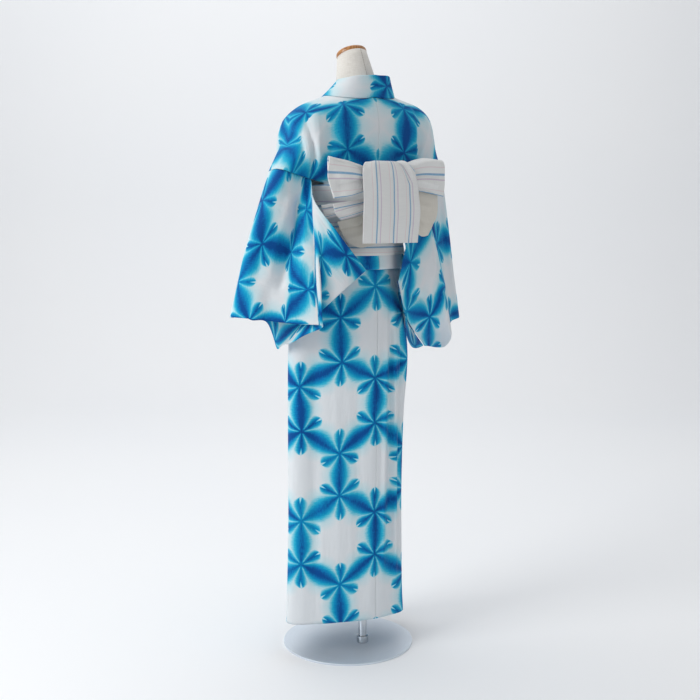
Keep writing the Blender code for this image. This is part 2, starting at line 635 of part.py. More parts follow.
def build_bow(obi_cloth, obi_reverse):
    """The bow, its knot and its hanging ends."""
    folded = np.array([0.0, 0.25, 0.5, 0.75, 0.9, 1.0, 1.1, 1.25, 1.5, 1.75, 2.0])
    flat = np.linspace(0.0, 1.0, 5)
    along = np.linspace(0.0, 1.0, 7)
    sheets = (
        ("bow_wing_left", WING_LEFT, folded, obi_cloth),
        ("bow_wing_right", WING_RIGHT, folded, obi_cloth),
        ("bow_wing_left_lower", WING_LEFT_LOWER, flat, obi_cloth),
        ("bow_lobe_left", LOBE_LEFT, flat, obi_reverse),
        ("bow_lobe_right", LOBE_RIGHT, flat, obi_reverse),
        ("obi_tail_end", TAIL_END, flat, obi_cloth),
    )
    for name, lines, across, material in sheets:
        grid = sheet_between_lines(lines, BOW_STATIONS, across, along)
        add_sheet(name, grid, material, OBI_CLOTH)
    hang = np.array([0.0, 0.07, 0.15, 0.25, 0.4, 0.55, 0.7, 0.85, 1.0])
    grid = sheet_between_lines(TAIL, TAIL_STATIONS, np.linspace(0.0, 1.0, 9), hang)
    add_sheet("obi_tail", grid, obi_cloth, OBI_CLOTH)


def build_knot(material):
    """The knot: a soft-cornered block on the obi, under the hanging end."""
    back_of_obi = body_ring(0.0, OBI_TOP, OBI_STAND_OFF)[1] + OBI_CLOTH / 2
    low = (KNOT_RIGHT, back_of_obi + TOUCH_GAP, KNOT_BOTTOM)
    high = (KNOT_LEFT, KNOT_BACK, KNOT_TOP)
    bpy.ops.mesh.primitive_cube_add(size=1.0)
    knot = bpy.context.object
    knot.name = "obi_knot"
    knot.data.name = "obi_knot"
    for collection in list(knot.users_collection):
        collection.objects.unlink(knot)
    COLLECTION.objects.link(knot)
    for vertex in knot.data.vertices:
        vertex.co = [low[i] + (vertex.co[i] + 0.5) * (high[i] - low[i]) for i in range(3)]
    knot.data.materials.append(material)
    corners = knot.modifiers.new("corners", "BEVEL")
    corners.width = 0.006
    corners.segments = 3
    return knot


def build():
    """Build every piece."""
    clear_scene()
    cotton = make_material("dyed_cotton", (0.35, 0.62, 0.85), 0.85)
    obi_cloth = make_material("obi_weave", (0.78, 0.76, 0.77), 0.8)
    obi_reverse = make_material("obi_reverse", (0.62, 0.57, 0.48), 0.85)
    linen = make_material("form_linen", (0.72, 0.66, 0.56), 0.9)
    wood = make_material("cap_wood", (0.45, 0.24, 0.09), 0.35)
    chrome = make_material("pole_chrome", (0.8, 0.8, 0.82), 0.1, 1.0)
    steel = make_material("brushed_steel", (0.55, 0.57, 0.6), 0.35, 1.0)

    for name, side in (("left", 1), ("right", -1)):
        add_sheet("body_" + name, body_panel(side), cotton, CLOTH)
        add_sheet("okumi_" + name, okumi_panel(side), cotton, CLOTH)
        add_sheet("sleeve_" + name, sleeve_sheet(side), cotton, CLOTH)
    add_sheet("collar", collar_band(), cotton, COLLAR_CLOTH)
    add_sheet("obi_wrap", obi_ring(), obi_cloth, OBI_CLOTH, closed=True)
    build_bow(obi_cloth, obi_reverse)
    build_knot(obi_cloth)

    add_loft("form_torso", form_rings(), linen)
    cap_radius = NECK_ROWS[-1][1]
    cap_profile = ((0.0, 0.0135), (cap_radius * 0.7, 0.0128), (cap_radius * 0.95, 0.0108),
                   (cap_radius * 1.03, 0.007), (cap_radius * 1.03, 0.002),
                   (cap_radius * 1.01, 0.0), (0.0, 0.0))
    lift = TOUCH_GAP / math.cos(math.atan(NECK_TILT))
    add_turned("neck_cap", cap_profile, wood, 28,
               (0.0, NECK_ROWS[-1][3], NECK_ROWS[-1][0] + lift), math.atan(NECK_TILT))

    plate_profile = ((0.0, BASE_THICKNESS), (BASE_RADIUS - 0.0012, BASE_THICKNESS),
                     (BASE_RADIUS, BASE_THICKNESS - 0.0012), (BASE_RADIUS, 0.0008),
                     (BASE_RADIUS - 0.0008, 0.0), (0.0, 0.0))
    add_turned("base_plate", plate_profile, steel, 64, (*BASE_CENTRE, 0.0))
    pole_foot = BASE_THICKNESS + TOUCH_GAP
    pole_top = FORM_HEIGHTS[0] - TOUCH_GAP
    add_turned("pole", ((0.0, pole_top), (POLE_RADIUS, pole_top), (POLE_RADIUS, pole_foot),
                        (0.0, pole_foot)), chrome, 24)
    bore = POLE_RADIUS + TOUCH_GAP
    top = pole_foot + FERRULE_HEIGHT
    add_turned("pole_ferrule", ((bore, top), (FERRULE_RADIUS - 0.001, top),
                                (FERRULE_RADIUS, top - 0.001), (FERRULE_RADIUS, pole_foot),
                                (bore, pole_foot)), chrome, 24)


build()
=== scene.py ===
"""Cotton yukata robe on a dress form stand: its cloth, its obi and the stand, dressed.

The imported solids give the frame: metres, +Z up, the wearer facing -Y, the wearer's left
towards +X, the pole on the Z axis. Every sewn piece is rebuilt here as a thin cloth shell on
the same forms, finer and with its folds, and gets its dyed, woven or sewn finish.
"""

import logging
import math
from dataclasses import dataclass, field
from enum import Enum

import bpy
import numpy as np
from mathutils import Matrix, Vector

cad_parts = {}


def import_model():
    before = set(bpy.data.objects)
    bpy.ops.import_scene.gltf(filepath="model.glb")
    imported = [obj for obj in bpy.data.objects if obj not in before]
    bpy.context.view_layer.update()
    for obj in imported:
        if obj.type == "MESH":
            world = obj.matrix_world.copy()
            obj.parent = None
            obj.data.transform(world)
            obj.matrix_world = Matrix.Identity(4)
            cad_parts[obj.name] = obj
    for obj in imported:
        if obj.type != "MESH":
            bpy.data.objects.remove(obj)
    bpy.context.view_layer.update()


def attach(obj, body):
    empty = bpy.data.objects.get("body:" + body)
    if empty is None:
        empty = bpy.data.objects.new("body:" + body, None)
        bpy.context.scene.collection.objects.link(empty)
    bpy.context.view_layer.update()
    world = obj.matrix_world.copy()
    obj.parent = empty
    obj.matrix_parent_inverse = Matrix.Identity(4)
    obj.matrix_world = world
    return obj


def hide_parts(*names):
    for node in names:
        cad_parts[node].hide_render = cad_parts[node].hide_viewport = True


LOG = logging.getLogger("yukata")
MM = 0.001
BODY = "root"
CLOTH_UV = "cloth"
WAVE_COUNT = 5
WAVE_LENGTHS = (0.6, 1.7)
ROOT_THREE = math.sqrt(3)
OBI_WEAVE = (1.1 * MM, 1.6 * MM)
SHARP_ANGLE = 35
Array = np.ndarray
Thing = bpy.types.Object
Material = bpy.types.Material
Pair = tuple[float, float]


class Face(Enum):
    """The two faces of the robe's body."""

    BACK = "back"
    FRONT = "front"


class Side(Enum):
    """The wearer's left and right, with the sign of X on each."""

    LEFT = 1
    RIGHT = -1

    @property
    def word(self) -> str:
        """The side's name in lower case."""
        return self.name.lower()


# === Curves, grids and meshes ===
def smooth_between(stations: Array, values: Array, where: Array) -> Array:
    """Read a smooth curve through a table's rows.

    Formula: between two rows the value is a cubic (Hermite) blend whose slope at each
    row is the difference of its neighbours over their distance.

    Args:
        stations: rising positions of the table's rows.
        values: one value, point or set of points for each row.
        where: positions to read, a number or an array.

    Returns:
        The values read, with the shape of where followed by the shape of one row.
    """
    stations = np.asarray(stations, float)
    values = np.asarray(values, float)
    where = np.asarray(where, float)
    slopes = np.gradient(values, stations, axis=0)
    index = np.clip(np.searchsorted(stations, where, side="right") - 1, 0, len(stations) - 2)
    span = stations[index + 1] - stations[index]
    t = np.clip((where - stations[index]) / span, 0.0, 1.0)
    extra = (1,) * (values.ndim - 1)
    span = span.reshape(span.shape + extra)
    t = t.reshape(t.shape + extra)
    t2, t3 = t * t, t * t * t
    return ((2 * t3 - 3 * t2 + 1) * values[index] + (t3 - 2 * t2 + t) * span * slopes[index]
            + (3 * t2 - 2 * t3) * values[index + 1] + (t3 - t2) * span * slopes[index + 1])


def soft_step(value: Array, low: float, high: float) -> Array:
    """An S-curve from 0 at low to 1 at high: 3 t squared less 2 t cubed."""
    t = np.clip((np.asarray(value, float) - low) / (high - low), 0.0, 1.0)
    return t * t * (3 - 2 * t)


def waves(u: Array, v: Array, seed: int, size: float) -> Array:
    """Smooth unevenness between about -1 and 1 over cloth coordinates.

    Formula: the mean of WAVE_COUNT sine waves, whose directions, lengths (WAVE_LENGTHS
    times size) and phases are drawn from the seed.

    Args:
        u: first cloth coordinate, in metres.
        v: second cloth coordinate, in metres.
        seed: chooses the waves.
        size: typical wavelength, in metres.

    Returns:
        The unevenness at each point.
    """
    draw = np.random.default_rng(seed)
    total = np.zeros(np.broadcast(u, v).shape)
    for _ in range(WAVE_COUNT):
        turn = draw.uniform(0, math.tau)
        length = size * draw.uniform(*WAVE_LENGTHS)
        phase = draw.uniform(0, math.tau)
        total += np.sin((u * math.cos(turn) + v * math.sin(turn)) * math.tau / length + phase)
    return total / WAVE_COUNT


def distances(points: Array, axis: int) -> Array:
    """Running distance along one axis of a grid of points, from 0."""
    steps = np.linalg.norm(np.diff(points, axis=axis), axis=-1)
    pad = [(0, 0), (0, 0)]
    pad[axis] = (1, 0)
    return np.cumsum(np.pad(steps, pad), axis=axis)


def grid_normals(points: Array) -> Array:
    """Unit normals of a grid: the cross product of its two directions.

    Args:
        points: rows by columns by 3.

    Returns:
        Unit vectors of the same shape.
    """
    across = np.gradient(points, axis=1)
    along = np.gradient(points, axis=0)
    normal = np.cross(across, along)
    return normal / np.maximum(np.linalg.norm(normal, axis=-1, keepdims=True), 1e-12)


@dataclass(frozen=True)
class Fold:
    """A soft ridge (height above 0) or trough (below 0) in a sheet of cloth.

    path holds points in the sheet's own coordinates, in metres. sharp is the power of the
    cross section: 2 is a round fold, 1 a crease with an edge. At its ends it dies away over
    the given share of its length.
    """

    path: tuple[Pair, ...]
    height: float
    width: float
    sharp: float = 2.0
    fade: float = 0.25

    def lift(self, u: Array, v: Array) -> Array:
        """Height of the fold at each point.

        Formula: height times exp(-(distance to the path over width) to the power sharp),
        times an S-curve that dies away near both ends of the path.

        Args:
            u: first sheet coordinate.
            v: second sheet coordinate.

        Returns:
            The lift along the sheet's normal, in metres.
        """
        path = np.array(self.path, float)
        legs = np.linalg.norm(np.diff(path, axis=0), axis=1)
        starts = np.concatenate([[0.0], np.cumsum(legs)])
        near = np.full(np.broadcast(u, v).shape, 1e9)
        place = np.zeros_like(near)
        for k, leg in enumerate(legs):
            du, dv = (path[k + 1] - path[k]) / leg
            along = np.clip((u - path[k, 0]) * du + (v - path[k, 1]) * dv, 0.0, leg)
            gap = np.hypot(u - path[k, 0] - along * du, v - path[k, 1] - along * dv)
            closer = gap < near
            near = np.where(closer, gap, near)
            place = np.where(closer, starts[k] + along, place)
        share = place / starts[-1]
        ends = soft_step(share, 0.0, self.fade) * (1 - soft_step(share, 1 - self.fade, 1.0))
        return self.height * np.exp(-(near / self.width) ** self.sharp) * ends


def all_lifts(folds: tuple[Fold, ...], u: Array, v: Array) -> Array:
    """Sum of the folds' heights at each point of a sheet."""
    return sum(fold.lift(u, v) for fold in folds)


def raised(points: Array, lift: Array) -> Array:
    """A grid moved along its normals by a height for each point."""
    return points + grid_normals(points) * lift[..., None]


def placed(name: str, data: bpy.types.ID) -> Thing:
    """Make an object of a mesh, a lamp or a camera and link it to the scene."""
    thing = bpy.data.objects.new(name, data)
    bpy.context.scene.collection.objects.link(thing)
    return thing


def grid_object(name: str, points: Array, uv: Array, closed: bool = False) -> Thing:
    """Make a mesh of quads through a grid of points, with its own UV map.

    Args:
        name: the piece's name.
        points: rows by columns by 3.
        uv: rows by columns by 2, or one more column when the rows are closed.
        closed: join the last column to the first.

    Returns:
        The new object, linked to the scene.
    """
    rows, columns = points.shape[:2]
    wide = columns if closed else columns - 1
    r, c = np.meshgrid(np.arange(rows - 1), np.arange(wide), indexing="ij")
    corner_rows = np.stack([r, r, r + 1, r + 1], axis=-1).reshape(-1)
    corner_columns = np.stack([c, c + 1, c + 1, c], axis=-1).reshape(-1)
    corners = corner_rows * columns + corner_columns % columns
    mesh = bpy.data.meshes.new(name)
    mesh.vertices.add(rows * columns)
    mesh.vertices.foreach_set("co", points.astype(np.float32).ravel())
    mesh.loops.add(len(corners))
    mesh.loops.foreach_set("vertex_index", corners.astype(np.int32))
    mesh.polygons.add(len(corners) // 4)
    mesh.polygons.foreach_set("loop_start", np.arange(0, len(corners), 4, dtype=np.int32))
    layer = mesh.uv_layers.new(name=CLOTH_UV)
    layer.data.foreach_set("uv", uv[corner_rows, corner_columns].astype(np.float32).ravel())
    mesh.update(calc_edges=True)
    mesh.validate()
    mesh.shade_smooth()
    return placed(name, mesh)


def ring_object(name: str, rings: Array) -> Thing:
    """Make a closed body through rings of points, shut at both ends with a fan.

    Args:
        name: the piece's name.
        rings: rings by points by 3, every ring turning the same way.

    Returns:
        The new object, with faces that point outwards.
    """
    count, size = rings.shape[:2]
    r, c = np.meshgrid(np.arange(count - 1), np.arange(size), indexing="ij")
    after = (c + 1) % size
    quads = np.stack([r * size + c, r * size + after, (r + 1) * size + after,
                      (r + 1) * size + c], axis=-1).reshape(-1, 4)
    ends = np.array([rings[0].mean(axis=0), rings[-1].mean(axis=0)])
    low, high = count * size, count * size + 1
    ring = np.arange(size)
    near = np.stack([np.roll(ring, -1), ring, np.full(size, low)], axis=-1)
    base = (count - 1) * size
    far = np.stack([base + ring, base + np.roll(ring, -1), np.full(size, high)], axis=-1)
    mesh = bpy.data.meshes.new(name)
    points = np.concatenate([rings.reshape(-1, 3), ends])
    mesh.from_pydata(points.tolist(), [], quads.tolist() + near.tolist() + far.tolist())
    mesh.update()
    volume = np.einsum("ij,ij->i", points[quads[:, 0]],
                       np.cross(points[quads[:, 1]] - points[quads[:, 0]],
                                points[quads[:, 2]] - points[quads[:, 0]])).sum()
    if volume < 0:
        mesh.flip_normals()
    mesh.shade_smooth()
    return placed(name, mesh)


def give_wall(thing: Thing, thickness: float) -> None:
    """Give an open sheet its thickness, half to each side.

    Even offsets stay off: they make spikes where the cloth is gathered at the armholes.
    """
    wall = thing.modifiers.new("wall", "SOLIDIFY")
    wall.thickness = thickness
    wall.offset = 0.0
    wall.use_even_offset = False
    wall.use_quality_normals = True


# === The dressed figure: the forms that every piece of cloth lies on ===
@dataclass(frozen=True)
class Layers:
    """Stand-off of the skirt, of the part hanging from the tie and of the part above it."""

    skirt: float
    down: float
    up: float


@dataclass
class Figure:
    """Round forms of the dressed body, as the solids have them.

    ring_angles: degrees from the back towards the left where the radii are given; the
        skirt has soft corners near 84 and 322.
    ring_rows: height, then the radius at each of those angles.
    shoulder_rows: share of the panel, X, height and how much wider and higher the right
        shoulder stands.
    armhole_back, armhole_front: where the armholes meet the obi, in degrees.
    back_shape, front_shape: how early a face falls away from the shoulder, how late it is
        drawn in to the obi, and how far it swells.
    """

    centre_y: float = -0.06
    ring_angles: tuple = (0.0, 24.0, 48.0, 66.0, 84.0, 104.0, 140.0, 180.0, 225.0, 270.0,
                          300.0, 322.0, 340.0)
    ring_rows: tuple = (
        (0.085, 0.118, 0.116, 0.13, 0.159, 0.2025, 0.148, 0.126, 0.125, 0.128,
         0.163, 0.134, 0.143, 0.1265),
        (0.35, 0.118, 0.115, 0.1265, 0.152, 0.1925, 0.146, 0.1255, 0.125, 0.128,
         0.15, 0.124, 0.1345, 0.1245),
        (0.6, 0.119, 0.1155, 0.1265, 0.1515, 0.1915, 0.147, 0.127, 0.127, 0.13,
         0.158, 0.132, 0.1385, 0.1255),
        (0.8, 0.121, 0.1185, 0.1265, 0.15, 0.184, 0.157, 0.135, 0.136, 0.136,
         0.165, 0.14, 0.144, 0.1255),
        (0.9, 0.121, 0.1199, 0.1259, 0.1464, 0.17, 0.164, 0.1405, 0.138, 0.138,
         0.164, 0.134, 0.125, 0.12),
        (0.975, 0.116, 0.1162, 0.1214, 0.1362, 0.1502, 0.1485, 0.1287, 0.126, 0.128,
         0.15, 0.1253, 0.1122, 0.1129),
        (1.1, 0.104, 0.105, 0.1088, 0.1165, 0.1234, 0.1211, 0.1067, 0.1, 0.108,
         0.124, 0.1121, 0.1047, 0.1036),
        (1.19, 0.106, 0.1071, 0.112, 0.1219, 0.1309, 0.1296, 0.1145, 0.106, 0.116,
         0.132, 0.1174, 0.1083, 0.1062),
    )
    shoulder_rows: tuple = (
        (0.0, 0.0, 1.418, 0.0, 0.0),
        (0.28, 0.094, 1.394, 0.002, 0.009),
        (0.58, 0.187, 1.347, 0.007, 0.018),
        (0.82, 0.201, 1.272, 0.026, 0.008),
        (1.0, 0.232, 1.217, 0.029, 0.002),
    )
    shoulder_y: float = -0.028
    bodice_start: float = 1.186
    armhole_back: float = 62.0
    armhole_front: float = 118.0
    back_shape: tuple = (7.0, 1.7, 0.006)
    front_shape: tuple = (3.2, 1.5, -0.004)
    fall_power: float = 1.3

    def ring(self, angle: Array, height: Array, stand_off: Array = 0.0) -> Array:
        """Points round the body.

        Formula: the radius is the table read smoothly up the height and round the body
        (the weights of the rows times the table times the weights of the angles), plus
        the stand-off; it turns about a vertical line behind the belly.

        Args:
            angle: degrees from the centre back towards the wearer's left.
            height: metres above the floor.
            stand_off: distance outside the form.

        Returns:
            The points, with the arguments' common shape followed by 3.
        """
        angle, height, stand_off = np.broadcast_arrays(
            np.asarray(angle, float), np.asarray(height, float), np.asarray(stand_off, float))
        rows = np.array(self.ring_rows)
        around = np.array(self.ring_angles)
        around = np.concatenate([around[-3:] - 360, around, around[:3] + 360])
        radii = np.concatenate([rows[:, -3:], rows[:, 1:], rows[:, 1:4]], axis=1)
        up = smooth_between(rows[:, 0], np.eye(len(rows)),
                            np.clip(height, rows[0, 0], rows[-1, 0]))
        turn = smooth_between(around, np.eye(len(around)), np.mod(angle, 360.0))
        radius = np.einsum("...r,rk,...k->...", up, radii, turn) + stand_off
        radians = np.radians(angle)
        return np.stack([radius * np.sin(radians),
                         self.centre_y + radius * np.cos(radians), height], axis=-1)

    def shoulder(self, share: Array, side: Side) -> Array:
        """Points on the shoulder fold at shares of the panel's width."""
        rows = np.array(self.shoulder_rows)
        width = np.abs(share)
        x = np.sign(share) * smooth_between(rows[:, 0], rows[:, 1], width)
        z = smooth_between(rows[:, 0], rows[:, 2], width)
        if side is Side.RIGHT:
            x = x + np.sign(share) * smooth_between(rows[:, 0], rows[:, 3], width)
            z = z + smooth_between(rows[:, 0], rows[:, 4], width)
        return np.stack([side.value * x, np.full_like(x, self.shoulder_y), z], axis=-1)

    def bodice(self, share: Array, step: Array, side: Side, face: Face,
               stand_off: float) -> Array:
        """Points on the bodice between the shoulder fold and the top of the obi.

        Formula: X leaves the shoulder late (step to a power), Y early (1 less (1 less
        step) to a power), Z at step to the power 1.3, and a sine swell rounds the back.

        Args:
            share: shares of the panel's width.
            step: 0 at the shoulder, 1 at the top of the obi.
            side: which half of the robe.
            face: back or front.
            stand_off: distance outside the form at the obi.

        Returns:
            The points, with the arguments' common shape followed by 3.
        """
        share, step = np.broadcast_arrays(np.asarray(share, float), np.asarray(step, float))
        top = self.shoulder(share, side)
        fall, draw_in, swell = self.back_shape
        angle = side.value * self.armhole_back * share
        if face is Face.FRONT:
            fall, draw_in, swell = self.front_shape
            angle = side.value * (180.0 - (180.0 - self.armhole_front) * share)
        foot = self.ring(angle, self.bodice_start, stand_off)
        away = 1 - (1 - step) ** fall
        point = np.empty(top.shape)
        point[..., 0] = top[..., 0] + (foot[..., 0] - top[..., 0]) * step ** draw_in
        point[..., 1] = top[..., 1] + (foot[..., 1] - top[..., 1]) * away
        point[..., 2] = top[..., 2] + (foot[..., 2] - top[..., 2]) * step ** self.fall_power
        point[..., 1] += swell * np.sin(math.pi * step) * np.sqrt(1 - np.abs(share))
        return point


# === The robe ===
@dataclass
class Panel:
    """A body panel as a grid.

    points: rows by columns by 3. pattern is the place in the cloth's dye, in metres, and
    neck the rows where the collar is sewn on.
    """

    points: Array
    pattern: Array
    neck: slice | None = None


@dataclass
class BodyPanels:
    """The robe's body: two long panels over the shoulders and two front overlaps.

    hem_rows, line_rows, wall_rows: how the skirt's rows are spread.
    tuck_across, tuck_down: where the right front sinks under the left one.
    skirt_shift, bodice_shift, fold_shift: the dye's place in the skirt, above and in the
        waist fold. It changes over turn_rows rows before the fold's foot.
    seam_shift, seam_reach, skew, skew_reach: how the dye slips beside the centre seam.
    held_between, hem_fade, edge_fade: where the cloth lies flat, and where folds begin.
    """

    figure: Figure
    cloth: float = 1.5 * MM
    seam_gap: float = 0.3 * MM
    mean_radius: float = 0.12
    panel_width: float = 0.335
    hem_height: float = 0.086
    hem_line: float = 0.127
    fold_bottom: float = 0.9745
    tie_height: float = 1.034
    obi_bottom: float = 1.01
    side_seam: float = 98.0
    okumi_seam: float = 188.0
    okumi_edge: float = 254.0
    under_start: float = 80.0
    under_full: float = 98.0
    outer: Layers = Layers(0.0, 3.6 * MM, 14.2 * MM)
    under: Layers = Layers(-4.0 * MM, 7.2 * MM, 10.6 * MM)
    neck_share: float = 0.28
    neck_depth: float = 0.2
    collar_crossing: float = 8.0 / 62.0
    under_tuck: float = 14.0 * MM
    tuck_across: Pair = (0.38, 0.66)
    tuck_down: Pair = (0.12, 0.55)
    hem_rows: Pair = (0.008, 0.11)
    line_rows: Pair = (0.006, 0.0015)
    wall_rows: tuple = (0.145, 0.004, 0.0105)
    rise_rows: int = 23
    below_neck_rows: int = 30
    neck_rows: int = 13
    columns: int = 111
    okumi_columns: int = 31
    skirt_shift: float = -0.144
    seam_shift: float = 0.008
    seam_reach: float = 0.08
    skew: float = 0.17
    skew_reach: float = 0.1
    turn_rows: tuple[int, int] = (14, 6)
    fold_shift: Pair = (0.06, 0.023)
    bodice_shift: float = 0.031
    okumi_shift: float = 0.04
    ripple: float = 1.3 * MM
    ripple_seed: int = 7
    ripple_length: float = 0.07
    ripple_slack: float = 0.16
    held_between: Pair = (0.965, 1.215)
    held_fade: float = 0.03
    hem_fade: Pair = (0.088, 0.13)
    edge_fade: Pair = (0.06, 0.95)
    front_share: float = 0.6
    folds: dict = field(default_factory=lambda: {
        Side.LEFT: (
            Fold(((0.2, 1.42), (0.197, 1.344), (0.189, 1.295), (0.187, 1.23)),
                 -0.0075, 0.011, 1.6),
            Fold(((0.172, 1.42), (0.168, 1.34), (0.17, 1.28), (0.175, 1.23)), 0.005, 0.012),
            Fold(((0.212, 1.46), (0.235, 1.38), (0.257, 1.33)), 0.006, 0.012),
            Fold(((0.242, 1.42), (0.247, 1.33), (0.235, 1.26)), -0.006, 0.012),
            Fold(((0.098, 1.4), (0.099, 1.319), (0.11, 1.23)), 0.003, 0.016),
            Fold(((0.136, 1.38), (0.134, 1.281), (0.148, 1.23)), -0.004, 0.014),
            Fold(((0.045, 0.15), (0.05, 0.88)), -0.0018, 0.016),
            Fold(((0.097, 0.12), (0.1, 0.93)), 0.002, 0.018),
            Fold(((0.16, 0.1), (0.15, 0.93)), -0.0022, 0.016),
            Fold(((0.205, 0.1), (0.2, 0.93)), 0.0022, 0.02)),
        Side.RIGHT: (
            Fold(((0.112, 1.42), (0.12, 1.31), (0.144, 1.23)), 0.0055, 0.009, 1.6),
            Fold(((0.134, 1.42), (0.142, 1.31), (0.166, 1.23)), -0.0055, 0.01),
            Fold(((0.182, 1.4), (0.166, 1.32), (0.14, 1.25)), 0.0045, 0.008, 1.6),
            Fold(((0.066, 1.4), (0.05, 1.23)), -0.0032, 0.014),
            Fold(((0.021, 0.12), (0.022, 0.4), (0.03, 0.94)), 0.006, 0.007),
            Fold(((0.042, 0.15), (0.046, 0.94)), -0.007, 0.008, 1.6),
            Fold(((0.061, 0.12), (0.061, 0.3), (0.054, 0.744), (0.06, 0.94)), 0.008, 0.007),
            Fold(((0.077, 0.14), (0.079, 0.94)), -0.007, 0.006, 1.6),
            Fold(((0.1, 0.12), (0.104, 0.94)), 0.0035, 0.011),
            Fold(((0.125, 0.12), (0.128, 0.94)), -0.003, 0.014),
            Fold(((0.165, 0.1), (0.16, 0.93)), 0.0025, 0.018)),
    })

    def path(self, under_share: Array) -> tuple[Array, Array, Array]:
        """The cloth's way from the hem to the top of the obi.

        It climbs to the tie, turns over it, hangs to the bottom of the waist fold, turns
        again and climbs under the obi. Both turns are half circles. The rows lie close
        together at the hem and beside the hem's line of stitches, and evenly above.

        Args:
            under_share: 0 on the outer wrap, 1 on the under wrap, for each column.

        Returns:
            Heights and stand-offs, rows by columns, and for each row the share of the
            way through the part above the waist fold (0 before it).
        """
        def layer(name: str) -> Array:
            return (getattr(self.outer, name) * (1 - under_share)
                    + getattr(self.under, name) * under_share)

        skirt, down, up = layer("skirt"), layer("down"), layer("up")
        line = self.hem_line
        turned, second = self.hem_rows
        reach, fine = self.line_rows
        start, clear, coarse = self.wall_rows
        low = np.concatenate([[self.hem_height, self.hem_height + turned, second],
                              np.arange(line - reach, line + reach + fine / 3, fine),
                              np.arange(start, self.tie_height - clear, coarse),
                              [self.tie_height]])
        foot = self.fold_bottom + self.outer.up / 2
        rise = np.linspace(foot, self.figure.bodice_start, self.rise_rows)
        heights, offs = [], []

        def straight(rows: Array, off: Array) -> None:
            """Add rows at given heights, all at one stand-off."""
            heights.extend(np.full_like(skirt, row) for row in rows)
            offs.extend(off for _ in rows)

        def turned_over(height: float, inner: Array, outer: Array, rows: int, way: int) -> None:
            """Add the rows of a half circle from one layer to the next, over or under."""
            for step in np.linspace(0, 1, rows)[1:-1]:
                turn = math.pi * (1 - step)
                heights.append(height + way * (outer - inner) / 2 * math.sin(turn))
                offs.append((outer + inner) / 2 + (outer - inner) / 2 * math.cos(turn))

        straight(low, skirt)
        turned_over(self.tie_height, skirt, down, 7, 1)
        straight(np.linspace(self.tie_height, foot, 5), down)
        turned_over(foot, down, up, 9, -1)
        before = len(heights)
        straight(rise, up)
        above = np.concatenate([np.zeros(before),
                                soft_step(rise, self.obi_bottom + 0.01,
                                          self.figure.bodice_start)])
        return np.array(heights), np.array(offs), above

    def inner_share(self, step: Array, face: Face) -> Array:
        """Share of the width where a panel's inner edge lies, down the bodice.

        Formula: at the back a quarter ellipse round the neck, then the centre seam; at
        the front a curve to the power 1.5 from the neck to the crossing.
        """
        step = np.asarray(step, float)
        if face is Face.BACK:
            inside = np.clip(1 - (step / self.neck_depth) ** 2, 0.0, 1.0)
            return self.neck_share * np.sqrt(inside)
        return self.neck_share - (self.collar_crossing + self.neck_share) * step ** 1.5

    def steps(self) -> Array:
        """Steps up the bodice, from the obi to the shoulder, even along the neckline."""
        turn = np.radians(np.linspace(0.0, 84.0, self.neck_rows))
        neck = self.neck_depth * np.cos(turn)
        below = np.linspace(0.975, self.neck_depth + 0.025, self.below_neck_rows)
        return np.concatenate([below, neck])

    def wall(self, angles: Array, free: Array, under: Array) -> tuple[Array, Array, Array]:
        """One face from the hem to the top of the obi, with its heights and share above.

        Formula: a column's angle in the skirt blends above the waist fold into its free
        angle at the bodice. under is each column's share of the under wrap.
        """
        heights, offs, above = self.path(under)
        share = above[:, None]
        return self.figure.ring(angles * (1 - share) + free * share, heights, offs), heights, above

    def panel(self, side: Side) -> Panel:
        """One half of the body: back hem, over the shoulder, down to the front hem."""
        figure = self.figure
        shares = np.linspace(0.0, 1.0, self.columns)
        gap = math.degrees(self.seam_gap / self.mean_radius)
        angles = side.value * (gap + (self.side_seam - 2 * gap) * shares)
        under = np.zeros_like(shares)
        if side is Side.RIGHT:
            under = soft_step(np.abs(angles), self.under_start, self.under_full)
        free = side.value * (gap + (figure.armhole_back - gap) * shares)
        back, heights, above = self.wall(angles, free, under)

        step = self.steps()[:, None]
        inner = self.inner_share(step, Face.BACK)
        width = np.maximum(inner + (1 - inner) * shares, self.seam_gap / self.panel_width)
        bodice_back = figure.bodice(width, step, side, Face.BACK, self.outer.up)
        ridge = figure.shoulder(self.neck_share + (1 - self.neck_share) * shares, side)[None]
        inner_front = self.inner_share(step, Face.FRONT)
        width_front = inner_front + (1 - inner_front) * shares
        bodice_front = figure.bodice(width_front, step, side, Face.FRONT, self.outer.up)
        if side is Side.RIGHT:
            bodice_front[..., 1] += (self.under_tuck
                                     * (1 - soft_step(width_front, *self.tuck_across))
                                     * soft_step(step, *self.tuck_down))

        span = self.side_seam - self.okumi_seam
        angles = side.value * (self.okumi_seam - gap + (span + 2 * gap) * shares)
        end = float(self.inner_share(1.0, Face.FRONT))
        wide = end + (1 - end) * shares
        free = side.value * (180.0 - (180.0 - figure.armhole_front) * wide)
        under = np.full_like(shares, 1.0 if side is Side.RIGHT else 0.0)
        front, heights_front, above_front = self.wall(angles, free, under)

